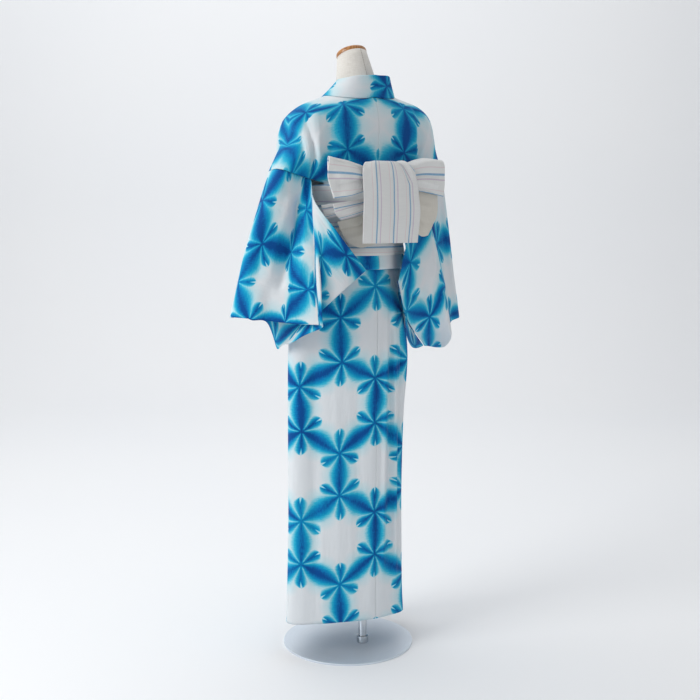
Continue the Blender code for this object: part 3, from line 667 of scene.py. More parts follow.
        low, high = len(back), len(bodice_back)
        points = np.concatenate([back, bodice_back, ridge, bodice_front[::-1], front[::-1]])
        across = distances(points, 1)
        across[low:low + high] += inner * self.panel_width
        across[low + high] += self.neck_share * self.panel_width
        across[low + high + 1:low + 2 * high + 1] += inner_front[::-1] * self.panel_width
        start = low + 2 * high + 1
        total = across[start:, -1:]
        blend = above_front[::-1][:, None]
        side_start = across[:low, -1].max()
        across[start:] = ((side_start + total - across[start:]) * (1 - blend)
                          + (across[start:] + end * self.panel_width) * blend)
        along = np.empty(across.shape)
        along[:low] = heights
        climb = distances(points[low - 1:low + high + 1], 0)
        along[low - 1:low + high + 1] = figure.bodice_start + climb
        fall = distances(points[low + high:start + 1][::-1], 0)[::-1]
        along[low + high:start + 1] = (figure.bodice_start
                                       + fall * climb[-1] / np.maximum(fall[0], 1e-6))
        along[start:] = heights_front[::-1]
        pattern = self.dye(across, along, len(heights), side)
        points = self.creased(points, across, along, len(heights), side)
        return Panel(points, pattern, slice(low + self.below_neck_rows, start + 1))

    def creased(self, points: Array, across: Array, along: Array, rows: int,
                side: Side) -> Array:
        """A body panel with its folds and a slight ripple, flat at its seams.

        Formula: each fold's height plus a ripple much longer than wide, times S-curves
        that are 0 at both edges and where the tie and the obi hold the cloth, carried
        along the outward normal. The shoulders and the chest keep a share of it.

        Args:
            points: rows by columns by 3.
            across: distance from the centre seam or the front seam.
            along: height measured along the cloth.
            rows: how many rows each face has up to the top of the obi.
            side: which half of the robe.

        Returns:
            The moved points.
        """
        lift = (self.ripple * waves(across, along * self.ripple_slack,
                                    self.ripple_seed + side.value, self.ripple_length)
                + all_lifts(self.folds[side], across, along))
        width = np.linspace(0.0, 1.0, points.shape[1])[None]
        near, far = self.edge_fade
        lift = lift * soft_step(width, 0.0, near) * (1 - soft_step(width, far, 1.0))
        low, high = self.held_between
        held = (soft_step(along, low - self.held_fade, low)
                * (1 - soft_step(along, high, high + self.held_fade)))
        lift = lift * (1 - held) * soft_step(along, *self.hem_fade)
        shoulder = rows + (self.below_neck_rows + self.neck_rows + 1) // 2
        lift[shoulder:-rows] *= self.front_share
        return raised(points, -side.value * lift)

    def okumi(self, side: Side) -> Panel:
        """Front overlap: from its hem through the waist fold to under the obi."""
        gap = math.degrees(self.seam_gap / self.mean_radius)
        shares = np.linspace(0.0, 1.0, self.okumi_columns)
        angles = side.value * (self.okumi_seam + gap
                               + (self.okumi_edge - self.okumi_seam - gap) * shares)
        under = np.full_like(shares, 1.0 if side is Side.RIGHT else 0.0)
        heights, offs, _ = self.path(under)
        points = self.figure.ring(angles, heights, offs)[:-5]
        across = distances(points, 1)
        along = np.broadcast_to(heights[:-5], across.shape)
        return Panel(points, np.stack([side.value * (across + self.okumi_shift),
                                       along + self.skirt_shift], axis=-1))

    def dye(self, across: Array, along: Array, rows: int, side: Side) -> Array:
        """Where each point of a body panel lies in the dyed pattern.

        The skirt, the waist fold and the bodice are shifted along the cloth against each
        other, where folds and the obi hide the change.

        Args:
            across: distance from the centre seam or the front seam.
            along: height above the hem's floor, measured along the cloth.
            rows: how many rows each face has up to the top of the obi.
            side: which half of the robe.

        Returns:
            Pattern coordinates in metres, rows by columns by 2.
        """
        def on_both_faces(share: Array, between: float) -> Array:
            """A column that follows share up each face and is constant over the shoulder."""
            column = np.full((len(across), 1), between)
            column[:rows, 0], column[-rows:, 0] = share, share[::-1]
            return column

        above = self.path(np.zeros(1))[2]
        first = int(np.argmax(above > 0)) - 1
        start, end = self.turn_rows
        hidden = soft_step(np.arange(rows), first - start, first - end)
        fold = on_both_faces(hidden * (1 - above), 0.0)
        skirt = on_both_faces((1 - hidden) * (1 - above), 0.0)
        shift = on_both_faces(self.fold_shift[1] * hidden * (1 - above)
                              + self.bodice_shift * above, self.bodice_shift)
        near = np.clip(1 - across / self.seam_reach, 0.0, 1.0)
        u_skirt = side.value * across + self.seam_shift * (0.5 - near)
        u_bodice = side.value * (across + self.seam_shift)
        slope = self.skew * np.minimum(across, self.skew_reach)
        u = u_skirt * skirt + u_bodice * (1 - skirt) + self.fold_shift[0] * fold
        v = along + shift + skirt * (self.skirt_shift + slope)
        return np.stack([u, v], axis=-1)


@dataclass
class Sleeves:
    """The two sleeves: lengths of cloth folded at the top, sewn to the armholes.

    lines: key lines from the armhole to the cuff. Each has its share of the cloth's half
    width, 0 at the top fold and +1 and -1 at the bottom seam on the back and front sheets,
    then its place at the armhole, in the middle and at the cuff, for the left sleeve.
    Lines sewn to the armhole have no place of their own there.
    right_lines: the places that differ on the right sleeve, by share.
    folds, front_folds: paths as distances from the armhole and round from the top fold.
    hidden_cloth: cloth taken up by the deep fold and by the flap under it, and how far the
        flap slides towards the cuff.
    """

    figure: Figure
    up_layer: float
    lines: tuple = (
        (-1.0, (0.062, 0.0965, 0.977), (0.152, 0.083, 0.905), (0.234, -0.035, 0.774)),
        (-0.85, (0.152, 0.06, 1.035), (0.196, 0.03, 0.93), (0.21, -0.07, 0.781)),
        (-0.68, (0.172, -0.045, 1.115), (0.2, -0.05, 0.965), (0.212, -0.112, 0.842)),
        (-0.5, (0.167, -0.107, 1.18), (0.222, -0.104, 0.984), (0.238, -0.147, 0.848)),
        (-0.45, None, (0.23, -0.112, 0.99), (0.246, -0.15, 0.852)),
        (-0.3, None, (0.259, -0.108, 1.015), (0.286, -0.132, 0.862)),
        (-0.15, None, (0.289, -0.075, 1.026), (0.32, -0.089, 0.862)),
        (0.0, None, (0.309, -0.038, 1.022), (0.3455, -0.05, 0.868)),
        (0.15, None, (0.284, -0.006, 1.025), (0.318, -0.006, 0.866)),
        (0.3, None, (0.248, 0.004, 1.015), (0.278, 0.012, 0.86)),
        (0.45, None, (0.208, 0.036, 1.006), (0.23, 0.06, 0.854)),
        (0.56, (0.172, 0.04, 1.15), (0.186, 0.074, 1.002), (0.189, 0.1, 0.852)),
        (0.77, (0.141, 0.098, 1.068), (0.176, 0.068, 0.96), (0.212, 0.045, 0.82)),
        (1.0, (0.061, 0.1, 0.977), (0.152, 0.087, 0.905), (0.235, -0.03, 0.774)),
    )
    right_lines: dict = field(default_factory=lambda: {
        -1.0: ((0.05, 0.0765, 0.945), (0.09, 0.064, 0.863), (0.234, -0.035, 0.781)),
        -0.85: ((0.15, 0.056, 1.03), (0.15, 0.02, 0.885), (0.21, -0.07, 0.786)),
        0.56: ((0.172, 0.04, 1.15), (0.186, 0.074, 1.002), (0.205, 0.1, 0.84)),
        0.77: ((0.085, 0.078, 1.055), (0.14, 0.08, 0.93), (0.212, 0.068, 0.803)),
        1.0: ((0.05, 0.08, 0.945), (0.09, 0.068, 0.863), (0.235, -0.03, 0.781)),
    })
    ripple: float = 2.2 * MM
    ripple_seed: int = 21
    ripple_length: float = 0.09
    ripple_slack: float = 0.5
    seam_fade: Pair = (0.022, 0.065)
    edge_fade: float = 0.97
    folds: dict = field(default_factory=lambda: {
        Side.LEFT: (
            Fold(((0.005, 0.142), (0.052, 0.136), (0.121, 0.144), (0.169, 0.131),
                  (0.208, 0.129), (0.29, 0.12)), -0.013, 0.012, 1.5, 0.2),
            Fold(((0.01, 0.168), (0.152, 0.172), (0.28, 0.165)), 0.006, 0.012),
            Fold(((0.01, 0.105), (0.15, 0.1), (0.29, 0.088)), 0.005, 0.018),
            Fold(((0.03, 0.06), (0.14, 0.05), (0.33, 0.06)), -0.004, 0.02),
            Fold(((0.01, 0.18), (0.152, 0.197), (0.291, 0.196), (0.359, 0.202)),
                 -0.006, 0.007, 1.5),
            Fold(((0.347, 0.215), (0.34, 0.27), (0.33, 0.34)), 0.0012, 0.0025),
            Fold(((0.1, 0.25), (0.24, 0.26), (0.33, 0.28)), 0.0035, 0.02)),
        Side.RIGHT: (
            Fold(((0.01, 0.352), (0.056, 0.345), (0.14, 0.318), (0.191, 0.29),
                  (0.33, 0.098)), -0.006, 0.01, 1.6),
            Fold(((0.01, 0.14), (0.14, 0.155), (0.31, 0.19)), 0.0065, 0.018),
            Fold(((0.01, 0.19), (0.15, 0.213), (0.29, 0.25)), -0.006, 0.014, 1.6),
            Fold(((0.01, 0.07), (0.16, 0.075), (0.33, 0.06)), -0.0045, 0.018)),
    })
    front_folds: tuple = (
        Fold(((0.01, -0.15), (0.18, -0.19), (0.33, -0.215)), -0.007, 0.014, 1.6),
        Fold(((0.01, -0.23), (0.18, -0.25), (0.33, -0.275)), 0.006, 0.016),
        Fold(((0.02, -0.08), (0.18, -0.09), (0.33, -0.1)), -0.005, 0.018),
    )
    sewn_share: float = 0.45
    sewn_depth: float = 0.8
    armhole_gap: float = 1.3 * MM
    right_drop: float = 0.03
    width: float = 0.36
    half_width: float = 0.36
    corner_start: float = 0.8
    corner_rise: float = 0.035
    rows: int = 84
    columns: int = 281
    dye_shift: dict = field(default_factory=lambda: {Side.LEFT: (0.03, -0.062),
                                                     Side.RIGHT: (0.05, 0.072)})
    hidden_cloth: dict = field(default_factory=lambda: {Side.LEFT: (0.045, 0.202, 0.039),
                                                        Side.RIGHT: (0.0, 0.0, 0.0)})
    fold_line: Pair = (0.13, 0.15)
    flap_line: Pair = (0.19, 0.2)
    inside_share: float = 0.96

    def armhole(self, share: Array, side: Side) -> Array:
        """Points beside the body's armhole edge, before the right sleeve is mirrored."""
        step = np.minimum(np.abs(share) / self.sewn_share, 1.0) * self.sewn_depth
        place = np.empty((*step.shape, 3))
        for face, here in ((Face.BACK, share >= 0), (Face.FRONT, share < 0)):
            edge = self.figure.bodice(1.0, step[here], side, face, self.up_layer)
            inside = self.figure.bodice(self.inside_share, step[here], side, face,
                                        self.up_layer)
            away = edge - inside
            away /= np.linalg.norm(away, axis=-1, keepdims=True)
            place[here] = edge + away * self.armhole_gap
        place[:, 0] *= side.value
        return place

    def sheet(self, side: Side) -> tuple[Array, Array]:
        """One sleeve as a grid from the armhole (first row) to the cuff.

        Formula: smooth curves through the key lines, first round the sleeve and then
        from armhole to cuff; the length shrinks with the square of the share past the
        corner's start, which rounds the foot of the cuff.

        Args:
            side: which sleeve.

        Returns:
            The points, and the place of each in the dyed pattern.
        """
        across = np.linspace(-1.0, 1.0, self.columns)
        shares = np.array([line[0] for line in self.lines])
        sewn = self.armhole(shares, side)
        places = np.empty((len(shares), 3, 3))
        for number, (share, *line) in enumerate(self.lines):
            if side is Side.RIGHT:
                line = self.right_lines.get(share, line)
            places[number] = [sewn[number] if line[0] is None else line[0], *line[1:]]
        line = smooth_between(shares, places, across)
        held = np.abs(across) <= self.sewn_share
        line[held, 0] = self.armhole(across[held], side)
        past = np.maximum(0.0, np.abs(across) - self.corner_start) / (1 - self.corner_start)
        steps = np.linspace(0.0, 1.0, self.rows)[:, None]
        along = steps * (1 - self.corner_rise / self.width * past ** 2)
        weights = smooth_between((0.0, 0.5, 1.0), np.eye(3), along)
        points = np.einsum("rcs,csd->rcd", weights, line)
        if side is Side.RIGHT:
            points[..., 0] *= -1
            points[..., 2] -= self.right_drop * steps
        round_cloth = np.broadcast_to(across * self.half_width, along.shape)
        along = along * self.width
        lift = (self.ripple * waves(along * self.ripple_slack, round_cloth,
                                    self.ripple_seed + side.value, self.ripple_length)
                + all_lifts(self.folds[side] + self.front_folds, along, round_cloth))
        lift = (lift * soft_step(along, *self.seam_fade)
                * (1 - soft_step(np.abs(across), self.edge_fade, 1.0))[None])
        return raised(points, -side.value * lift), self.dye(along, round_cloth, side)

    def dye(self, along: Array, round_cloth: Array, side: Side) -> Array:
        """Where each point of a sleeve lies in the dyed pattern.

        Args:
            along: distance from the armhole.
            round_cloth: distance round from the top fold, positive on the back sheet.
            side: which sleeve.

        Returns:
            Pattern coordinates in metres, rows by columns by 2.
        """
        shift = self.dye_shift[side]
        first, second, slide = self.hidden_cloth[side]
        past = soft_step(round_cloth, *self.flap_line)
        taken = first * soft_step(round_cloth, *self.fold_line) + second * past
        return np.stack([side.value * (along + slide * past) + shift[0],
                         shift[1] - round_cloth - taken], axis=-1)


@dataclass
class Collar:
    """The folded collar band, sewn to the neck and front edges of the body.

    rise: how far the standing edge lies from the seam, as the share of the way from the
    centre back to the obi, then the distances away from the side, forwards and upwards.
    lean: how much the seam climbs behind the neck. fold_up, fold_out: section of the fold,
    as shares of the rise and of half the fold.
    """

    panels: BodyPanels
    rise: tuple = (
        (0.0, 0.0, 0.004, 0.052),
        (0.1, -0.007, 0.004, 0.054),
        (0.22, -0.024, 0.005, 0.045),
        (0.34, -0.035, 0.01, 0.036),
        (0.48, -0.039, 0.018, 0.03),
        (0.64, -0.043, 0.016, 0.022),
        (0.82, -0.046, 0.009, 0.01),
        (1.0, -0.046, 0.006, 0.002),
    )
    half_fold: float = 1.1 * MM
    cloth: float = 1.2 * MM
    seam: float = 1.3 * MM
    under_tuck: float = 12.0 * MM
    tuck_from: float = 0.6
    lean: float = 1.5
    lean_fade: Pair = (0.035, 0.11)
    face_rows: int = 13
    face_top: float = 0.95
    fold_up: tuple = (0.975, 0.99, 1.0, 0.99, 0.975)
    fold_out: tuple = (0.85, 0.5, 0.0, -0.5, -0.85)
    dye_shift: Pair = (-0.03, -0.07)
    samples: int = 150

    def half(self, side: Side) -> tuple[Array, Array]:
        """Seam line and standing edge of half the collar, from the centre back.

        Formula: the body's inner edge moved by the seam width towards the open neck,
        square to the edge, then read at even lengths; the standing edge is the seam plus
        the table's rise.
        """
        panel = self.panels.panel(side)
        edge = panel.points[panel.neck, 0].copy()
        edge[0, 0] = 0.0
        toward = edge - panel.points[panel.neck, 1]
        toward[0] = (0.0, 0.0, 1.0)
        toward /= np.linalg.norm(toward, axis=1, keepdims=True)
        length = distances(edge[:, None], 0)[:, 0]
        toward[:, 2] += self.lean * (1 - soft_step(length, *self.lean_fade))
        along = np.gradient(edge, axis=0)
        along /= np.linalg.norm(along, axis=1, keepdims=True)
        toward -= along * np.sum(toward * along, axis=1, keepdims=True)
        toward /= np.linalg.norm(toward, axis=1, keepdims=True)
        seam = edge + toward * self.seam
        seam[0, 0] = 0.0
        length = distances(seam[:, None], 0)[:, 0]
        seam = smooth_between(length / length[-1], seam, np.linspace(0, 1, self.samples))
        share = np.linspace(0.0, 1.0, self.samples)
        table = np.array(self.rise)
        rise = smooth_between(table[:, 0], table[:, 1:], share)
        rise[:, 0] *= side.value
        if side is Side.RIGHT:
            rise[:, 1] += self.under_tuck * soft_step(share, self.tuck_from, 1.0)
        return seam, seam + rise

    def band(self) -> tuple[Array, Array]:
        """The folded band: outer face, standing fold and inner face.

        Returns:
            The points, and the place of each in the dyed pattern.
        """
        left_seam, left_stand = self.half(Side.LEFT)
        right_seam, right_stand = self.half(Side.RIGHT)
        seam = np.concatenate([right_seam[:0:-1], left_seam])
        stand = np.concatenate([right_stand[:0:-1], left_stand])
        rise = stand - seam
        outward = np.cross(rise, np.gradient(seam, axis=0))
        outward /= np.linalg.norm(outward, axis=1, keepdims=True)
        face = np.linspace(0, self.face_top, self.face_rows)
        up = np.concatenate([face, self.fold_up, face[::-1]])
        flat = np.ones(self.face_rows)
        out = np.concatenate([flat, self.fold_out, -flat])
        points = (seam[:, None] + rise[:, None] * up[:, None]
                  + outward[:, None] * (out * self.half_fold)[:, None])
        along = np.broadcast_to(distances(seam[:, None], 0), points.shape[:2])
        shift_across, shift_along = self.dye_shift
        return points, np.stack([distances(points, 1) + shift_across,
                                 along - along.mean() + shift_along], axis=-1)


# === Finishes ===
def feed(tree: bpy.types.NodeTree, value: "Wire | float | tuple",
         socket: bpy.types.NodeSocket) -> None:
    """Link a wire to a socket, or set the socket to a constant."""
    if isinstance(value, Wire):
        tree.links.new(value.socket, socket)
    else:
        socket.default_value = value


class Wire:
    """A number inside a material, joined to others by ordinary arithmetic."""

    def __init__(self, tree: bpy.types.NodeTree, socket: bpy.types.NodeSocket) -> None:
        """Hold a socket of a node tree."""
        self.tree = tree
        self.socket = socket

    def math(self, operation: str, *others: "Wire | float") -> "Wire":
        """Join this number to others with a Math node of the named operation."""
        node = self.tree.nodes.new("ShaderNodeMath")
        node.operation = operation
        for place, value in enumerate((self, *others)):
            feed(self.tree, value, node.inputs[place])
        return Wire(self.tree, node.outputs[0])

    def __add__(self, other: "Wire | float") -> "Wire":
        """Sum."""
        return self.math("ADD", other)

    def __sub__(self, other: "Wire | float") -> "Wire":
        """Difference."""
        return self.math("SUBTRACT", other)

    def __rsub__(self, other: float) -> "Wire":
        """A number less this one."""
        return self.math("MULTIPLY", -1.0).math("ADD", other)

    def __mul__(self, other: "Wire | float") -> "Wire":
        """Product."""
        return self.math("MULTIPLY", other)

    def __truediv__(self, other: "Wire | float") -> "Wire":
        """Quotient."""
        return self.math("DIVIDE", other)

    def __abs__(self) -> "Wire":
        """Size without sign."""
        return self.math("ABSOLUTE")

    def power(self, other: float) -> "Wire":
        """This number, never below 0, to a power."""
        return self.math("MAXIMUM", 0.0).math("POWER", other)

    def repeat(self, period: float) -> "Wire":
        """Remainder after whole periods, never negative."""
        return self.math("FLOORED_MODULO", period)

    def soft(self, low: float, high: float) -> "Wire":
        """S-curve from 0 at low to 1 at high."""
        node = self.tree.nodes.new("ShaderNodeMapRange")
        node.interpolation_type = "SMOOTHSTEP"
        flip = low > high
        self.tree.links.new(self.socket, node.inputs["Value"])
        node.inputs["From Min"].default_value = min(low, high)
        node.inputs["From Max"].default_value = max(low, high)
        node.inputs["To Min"].default_value = 1.0 if flip else 0.0
        node.inputs["To Max"].default_value = 0.0 if flip else 1.0
        return Wire(self.tree, node.outputs["Result"])

    def pick(self, low: "Wire", high: "Wire") -> "Wire":
        """Blend: low where this is 0, high where it is 1."""
        return self * (high - low) + low

    def sine(self, period: float) -> "Wire":
        """Sine of this number with a given period."""
        return (self * (math.tau / period)).math("SINE")


def linear(red: float, green: float, blue: float) -> tuple[float, float, float, float]:
    """A display colour of 0 to 255 as linear light: ((c + 0.055) / 1.055) to the 2.4."""
    return tuple(((c / 255 + 0.055) / 1.055) ** 2.4 for c in (red, green, blue)) + (1.0,)


class Recipe:
    """One finish's node tree, with short calls for the nodes that finishes share."""

    def __init__(self, name: str, **constants: float) -> None:
        """Start a Principled material and set its constants on the shader's sockets."""
        self.material = bpy.data.materials.new(name)
        self.material.use_nodes = True
        self.tree = self.material.node_tree
        self.shader = self.tree.nodes["Principled BSDF"]
        for socket, value in constants.items():
            self.shader.inputs[socket.replace("_", " ")].default_value = value

    def node(self, kind: str, **values: object) -> bpy.types.Node:
        """Add a node; values that name inputs are set, wires among them are linked."""
        node = self.tree.nodes.new("ShaderNode" + kind)
        for key, value in values.items():
            socket = node.inputs.get(key.replace("_", " "))
            if socket is None:
                setattr(node, key, value)
            else:
                feed(self.tree, value, socket)
        return node

    def cloth(self) -> tuple[Wire, Wire, Wire]:
        """The cloth's own coordinates in metres, as two numbers and a vector."""
        vector = Wire(self.tree, self.node("UVMap", uv_map=CLOTH_UV).outputs[0])
        parts = self.node("SeparateXYZ", Vector=vector)
        return Wire(self.tree, parts.outputs[0]), Wire(self.tree, parts.outputs[1]), vector

    def place(self) -> tuple[Wire, Wire, Wire, Wire]:
        """Object coordinates, as three numbers and a vector."""
        vector = Wire(self.tree, self.node("TexCoord").outputs["Object"])
        parts = self.node("SeparateXYZ", Vector=vector)
        return (*(Wire(self.tree, output) for output in parts.outputs), vector)

    def vector(self, x: Wire | float, y: Wire | float, z: Wire | float = 0.0) -> Wire:
        """Join three numbers into a vector."""
        return Wire(self.tree, self.node("CombineXYZ", X=x, Y=y, Z=z).outputs[0])

    def noise(self, vector: Wire, scale: float, detail: float = 2.0,
              roughness: float = 0.5) -> Wire:
        """Soft noise between 0 and 1."""
        node = self.node("TexNoise", Vector=vector, Scale=scale, Detail=detail,
                         Roughness=roughness)
        return Wire(self.tree, node.outputs[0])

    def ramp(self, value: Wire, *stops: tuple[float, tuple]) -> Wire:
        """Colours along a number: pairs of a place and a linear colour."""
        node = self.node("ValToRGB", Fac=value)
        ramp = node.color_ramp
        for _ in range(len(stops) - 2):
            ramp.elements.new(0.5)
        for element, (place, colour) in zip(ramp.elements, stops):
            element.position = place
            element.color = colour
        return Wire(self.tree, node.outputs[0])

    def mix(self, share: Wire, low: Wire | tuple, high: Wire | tuple) -> Wire:
        """Blend two colours by a share."""
        node = self.tree.nodes.new("ShaderNodeMix")
        node.data_type = "RGBA"
        for place, value in ((0, share), (6, low), (7, high)):
            feed(self.tree, value, node.inputs[place])
        return Wire(self.tree, node.outputs[2])

    def bump(self, height: Wire, depth: float, strength: float) -> None:
        """Raise the surface by a height of 0 to 1 times a depth in metres."""
        node = self.node("Bump", Height=height, Distance=depth, Strength=strength)
        self.tree.links.new(node.outputs[0], self.shader.inputs["Normal"])

    def give(self, socket: str, value: Wire) -> None:
        """Link a wire to one of the shader's sockets."""
        self.tree.links.new(value.socket, self.shader.inputs[socket])

    def weave(self, u: Wire, v: Wire, pitch_u: float, pitch_v: float) -> Wire:
        """Plain weave, 0 between threads to 1 on them: product of two sine ripples."""
        return u.sine(pitch_u) * v.sine(pitch_v) * 0.5 + 0.5


@dataclass(frozen=True)
class SnowFlowerCotton:
    """Crisp white cotton, folded into triangles and dipped in blue: a honeycomb of flowers.

    edge is the side of a hexagon of the honeycomb and warp how far the cloth slipped in its
    folds, in metres. Other lengths are shares of the edge.

    blade, fuller, blade_least: half width of the dye along an edge, its gain between the
        heights in fuller_between, and what it keeps at its ends.
    petal_reach, petal_half, petal_power: a petal's length, width and roundness.
    fork, fork_slope, fork_edge, fork_start: the white cut that splits a petal's tip.
    heart, petal_halo: where a flower's middle and its pale rim end and are full.
    """

    edge: float = 0.1128
    warp: float = 0.011
    blade: float = 0.2
    fuller: float = 0.085
    fuller_between: Pair = (0.8, 1.1)
    blade_least: float = 0.006
    petal_reach: float = 0.53
    petal_half: float = 0.2
    petal_power: float = 4.5
    fork: float = 0.36
    fork_slope: float = 0.2
    fork_edge: float = 0.016
    fork_start: Pair = (0.43, 0.34)
    heart: Pair = (0.1, 0.02)
    petal_halo: Pair = (0.66, 0.5)
    tones: tuple = (
        (0.01, linear(226, 231, 235)), (0.1, linear(204, 228, 235)),
        (0.22, linear(138, 210, 228)), (0.38, linear(52, 184, 216)),
        (0.56, linear(10, 152, 200)), (0.78, linear(4, 120, 184)),
        (1.0, linear(4, 78, 150)),
    )

    def hexagon(self, u: Wire, v: Wire) -> tuple[Wire, Wire]:
        """Place in the folded triangle: along an edge from its end, and away from it.

        Formula: the vector to the nearest centre of a honeycomb (the shorter of two
        square lattices' vectors) is mirrored into one twelfth of the hexagon.
        """
        wide, tall = ROOT_THREE * self.edge, 3 * self.edge
        x1 = u.repeat(wide) - wide / 2
        y1 = v.repeat(tall) - tall / 2
        x2 = (u + wide / 2).repeat(wide) - wide / 2
        y2 = (v + tall / 2).repeat(tall) - tall / 2
        nearer = (x1 * x1 + y1 * y1).math("LESS_THAN", x2 * x2 + y2 * y2)
        x, y = abs(nearer.pick(x2, x1)), abs(nearer.pick(y2, y1))
        past = (y * (ROOT_THREE / 2) - x * 0.5).math("MAXIMUM", 0.0)
        x = x + past
        y = abs(y - past * ROOT_THREE)
        return self.edge / 2 - y, ROOT_THREE / 2 * self.edge - x

    def blade_spread(self, along: Wire, away: Wire, full: Wire, feather: Wire) -> Wire:
        """Distance from an edge over the blade's half width, with a feathered rim."""
        a = self.edge
        half = along.sine(2 * a).math("MAXIMUM", 0.0)
        half = half * (full * (a * self.fuller) + a * self.blade) + a * self.blade_least
        return abs(away / half + feather * 0.7)

    def petal_spread(self, along: Wire, away: Wire, feather: Wire) -> tuple[Wire, Wire, Wire]:
        """Distance from a petal's middle line over its half width, its cut and its place.

        Formula: r and s are the corner's own axes, turned by 60 degrees. The half width
        is r times 1 less r to petal_power, with r as a share of the petal's reach.

        Returns:
            The spread, 1 outside the cut and 0 in it, and r.
        """
        a = self.edge
        r = along * 0.5 + away * (ROOT_THREE / 2)
        s = abs(away * 0.5 - along * (ROOT_THREE / 2))
        out = (r / (self.petal_reach * a)).math("MINIMUM", 1.0)
        half = out * (1.0 - out.power(self.petal_power)) * (self.petal_half * a) + 0.0002
        cut = s - (r - self.fork * a) * self.fork_slope
        cut = cut.soft(-self.fork_edge * a, self.fork_edge * a)
        start, end = self.fork_start
        return abs(s / half + feather * 0.8), r.soft(start * a, end * a).math("MAXIMUM", cut), r

    def material(self) -> Material:
        """Build the finish: dye, thread, crispness and sheen.

        Formula: the dye is the strongest of blade, petal and heart, times slow and
        fibrous noise, plus a pale halo round them.
        """
        recipe = Recipe("snow_flower_cotton", Roughness=0.82, Sheen_Weight=0.05,
                        Sheen_Roughness=0.5, Specular_IOR_Level=0.12)
        u, v, vector = recipe.cloth()
        drift = recipe.noise(vector, 9.0, 1.0)
        sway = recipe.noise(recipe.vector(v, u, 3.0), 8.0, 1.0)
        along, away = self.hexagon(u + (drift - 0.5) * self.warp * 2,
                                   v + (sway - 0.5) * self.warp * 2)
        strength = recipe.noise(vector, 7.0, 1.0)
        fibre = recipe.noise(recipe.vector(u * 5.0, v, 0.7), 90.0, 2.0, 0.6)
        feather = recipe.noise(recipe.vector(u, v * 4.0, 1.7), 70.0, 2.0, 0.6)
        feather = (feather + fibre) * 0.5 - 0.5
        full = recipe.place()[2].soft(*self.fuller_between)
        reach = self.blade_spread(along, away, full, feather)
        spread, outside, r = self.petal_spread(along, away, feather)
        a = self.edge
        blade = reach.soft(1.5, -0.25)
        petal = spread.soft(1.5, -0.3) * outside * 0.86
        heart = r.soft(self.heart[0] * a, self.heart[1] * a) * 0.72
        halo = spread.soft(2.4, 0.8) * r.soft(self.petal_halo[0] * a, self.petal_halo[1] * a)
        halo = reach.soft(2.9, 0.8).math("MAXIMUM", halo)
        dye = blade.math("MAXIMUM", petal).math("MAXIMUM", heart)
        dye = dye * (strength * 1.2 + 0.34) * (fibre * 0.8 + 0.6) + halo * 0.14 * (fibre + 0.5)
        recipe.give("Base Color", recipe.ramp(dye, *self.tones))
        thread = recipe.weave(u, v, 0.75 * MM, 0.85 * MM)
        crumple = recipe.noise(recipe.vector(u, v, 5.0), 28.0, 3.0, 0.55)
        crease = recipe.noise(recipe.vector(u, v * 0.2, 9.0), 40.0, 2.0, 0.6)
        recipe.bump(thread * 0.1 + crumple * 0.9 + crease * 2.2, 1.6 * MM, 0.7)
        return recipe.material


@dataclass(frozen=True)
class ObiWeave:
    """Off-white slubbed cotton with blue and thin lilac stripes along it.

    Stripes repeat every period across the cloth. stripe, lilac_stripe and rose_stripe hold
    a stripe's middle and the distances from it where the colour ends and is full.
    """

    period: float = 0.05
    first: float = 0.02
    stripe: tuple = (0.0, 2.5 * MM, 1.3 * MM)
    lilac_stripe: tuple = (10.5 * MM, 1.9 * MM, 0.9 * MM)
    rose_stripe: tuple = (-12.5 * MM, 1.3 * MM, 0.5 * MM)
    dark: tuple = linear(236, 238, 238)
    light: tuple = linear(252, 252, 250)
    blue: tuple = linear(126, 178, 216)
    lilac: tuple = linear(214, 196, 216)
    rose: tuple = linear(234, 208, 212)

    def material(self) -> Material:
        """Build the finish: stripes, slubs and the thick weft."""
        recipe = Recipe("obi_cloth", Roughness=0.72, Sheen_Weight=0.15,
                        Sheen_Roughness=0.4, Specular_IOR_Level=0.3)
        u, v, _ = recipe.cloth()
        sway = (recipe.noise(recipe.vector(u * 3.0, v * 12.0), 3.0, 1.0) - 0.5) * (1.2 * MM)
        place = (v + (self.period / 2 - self.first) + sway).repeat(self.period)
        place = place - self.period / 2
        thread = recipe.noise(recipe.vector(u * 25.0, v * 900.0), 1.0, 2.0)
        slub = recipe.noise(recipe.vector(u * 520.0, v * 18.0), 1.0, 3.0, 0.6)
        edge = (thread - 0.5) * (1.1 * MM)
        stripe, lilac, rose = (
            abs(place - middle + edge).soft(end, full)
            for middle, end, full in (self.stripe, self.lilac_stripe, self.rose_stripe))
        base = recipe.mix(slub, self.dark, self.light)
        base = recipe.mix(rose * 0.5, base, self.rose)
        base = recipe.mix(lilac * (thread * 0.5 + 0.5), base, self.lilac)
        base = recipe.mix(stripe * (slub * 0.5 + 0.65).math("MINIMUM", 1.0), base, self.blue)
        recipe.give("Base Color", base)
        recipe.bump(recipe.weave(u, v, *OBI_WEAVE) * 0.35 + slub * 0.65, 1.1 * MM, 0.8)
        return recipe.material


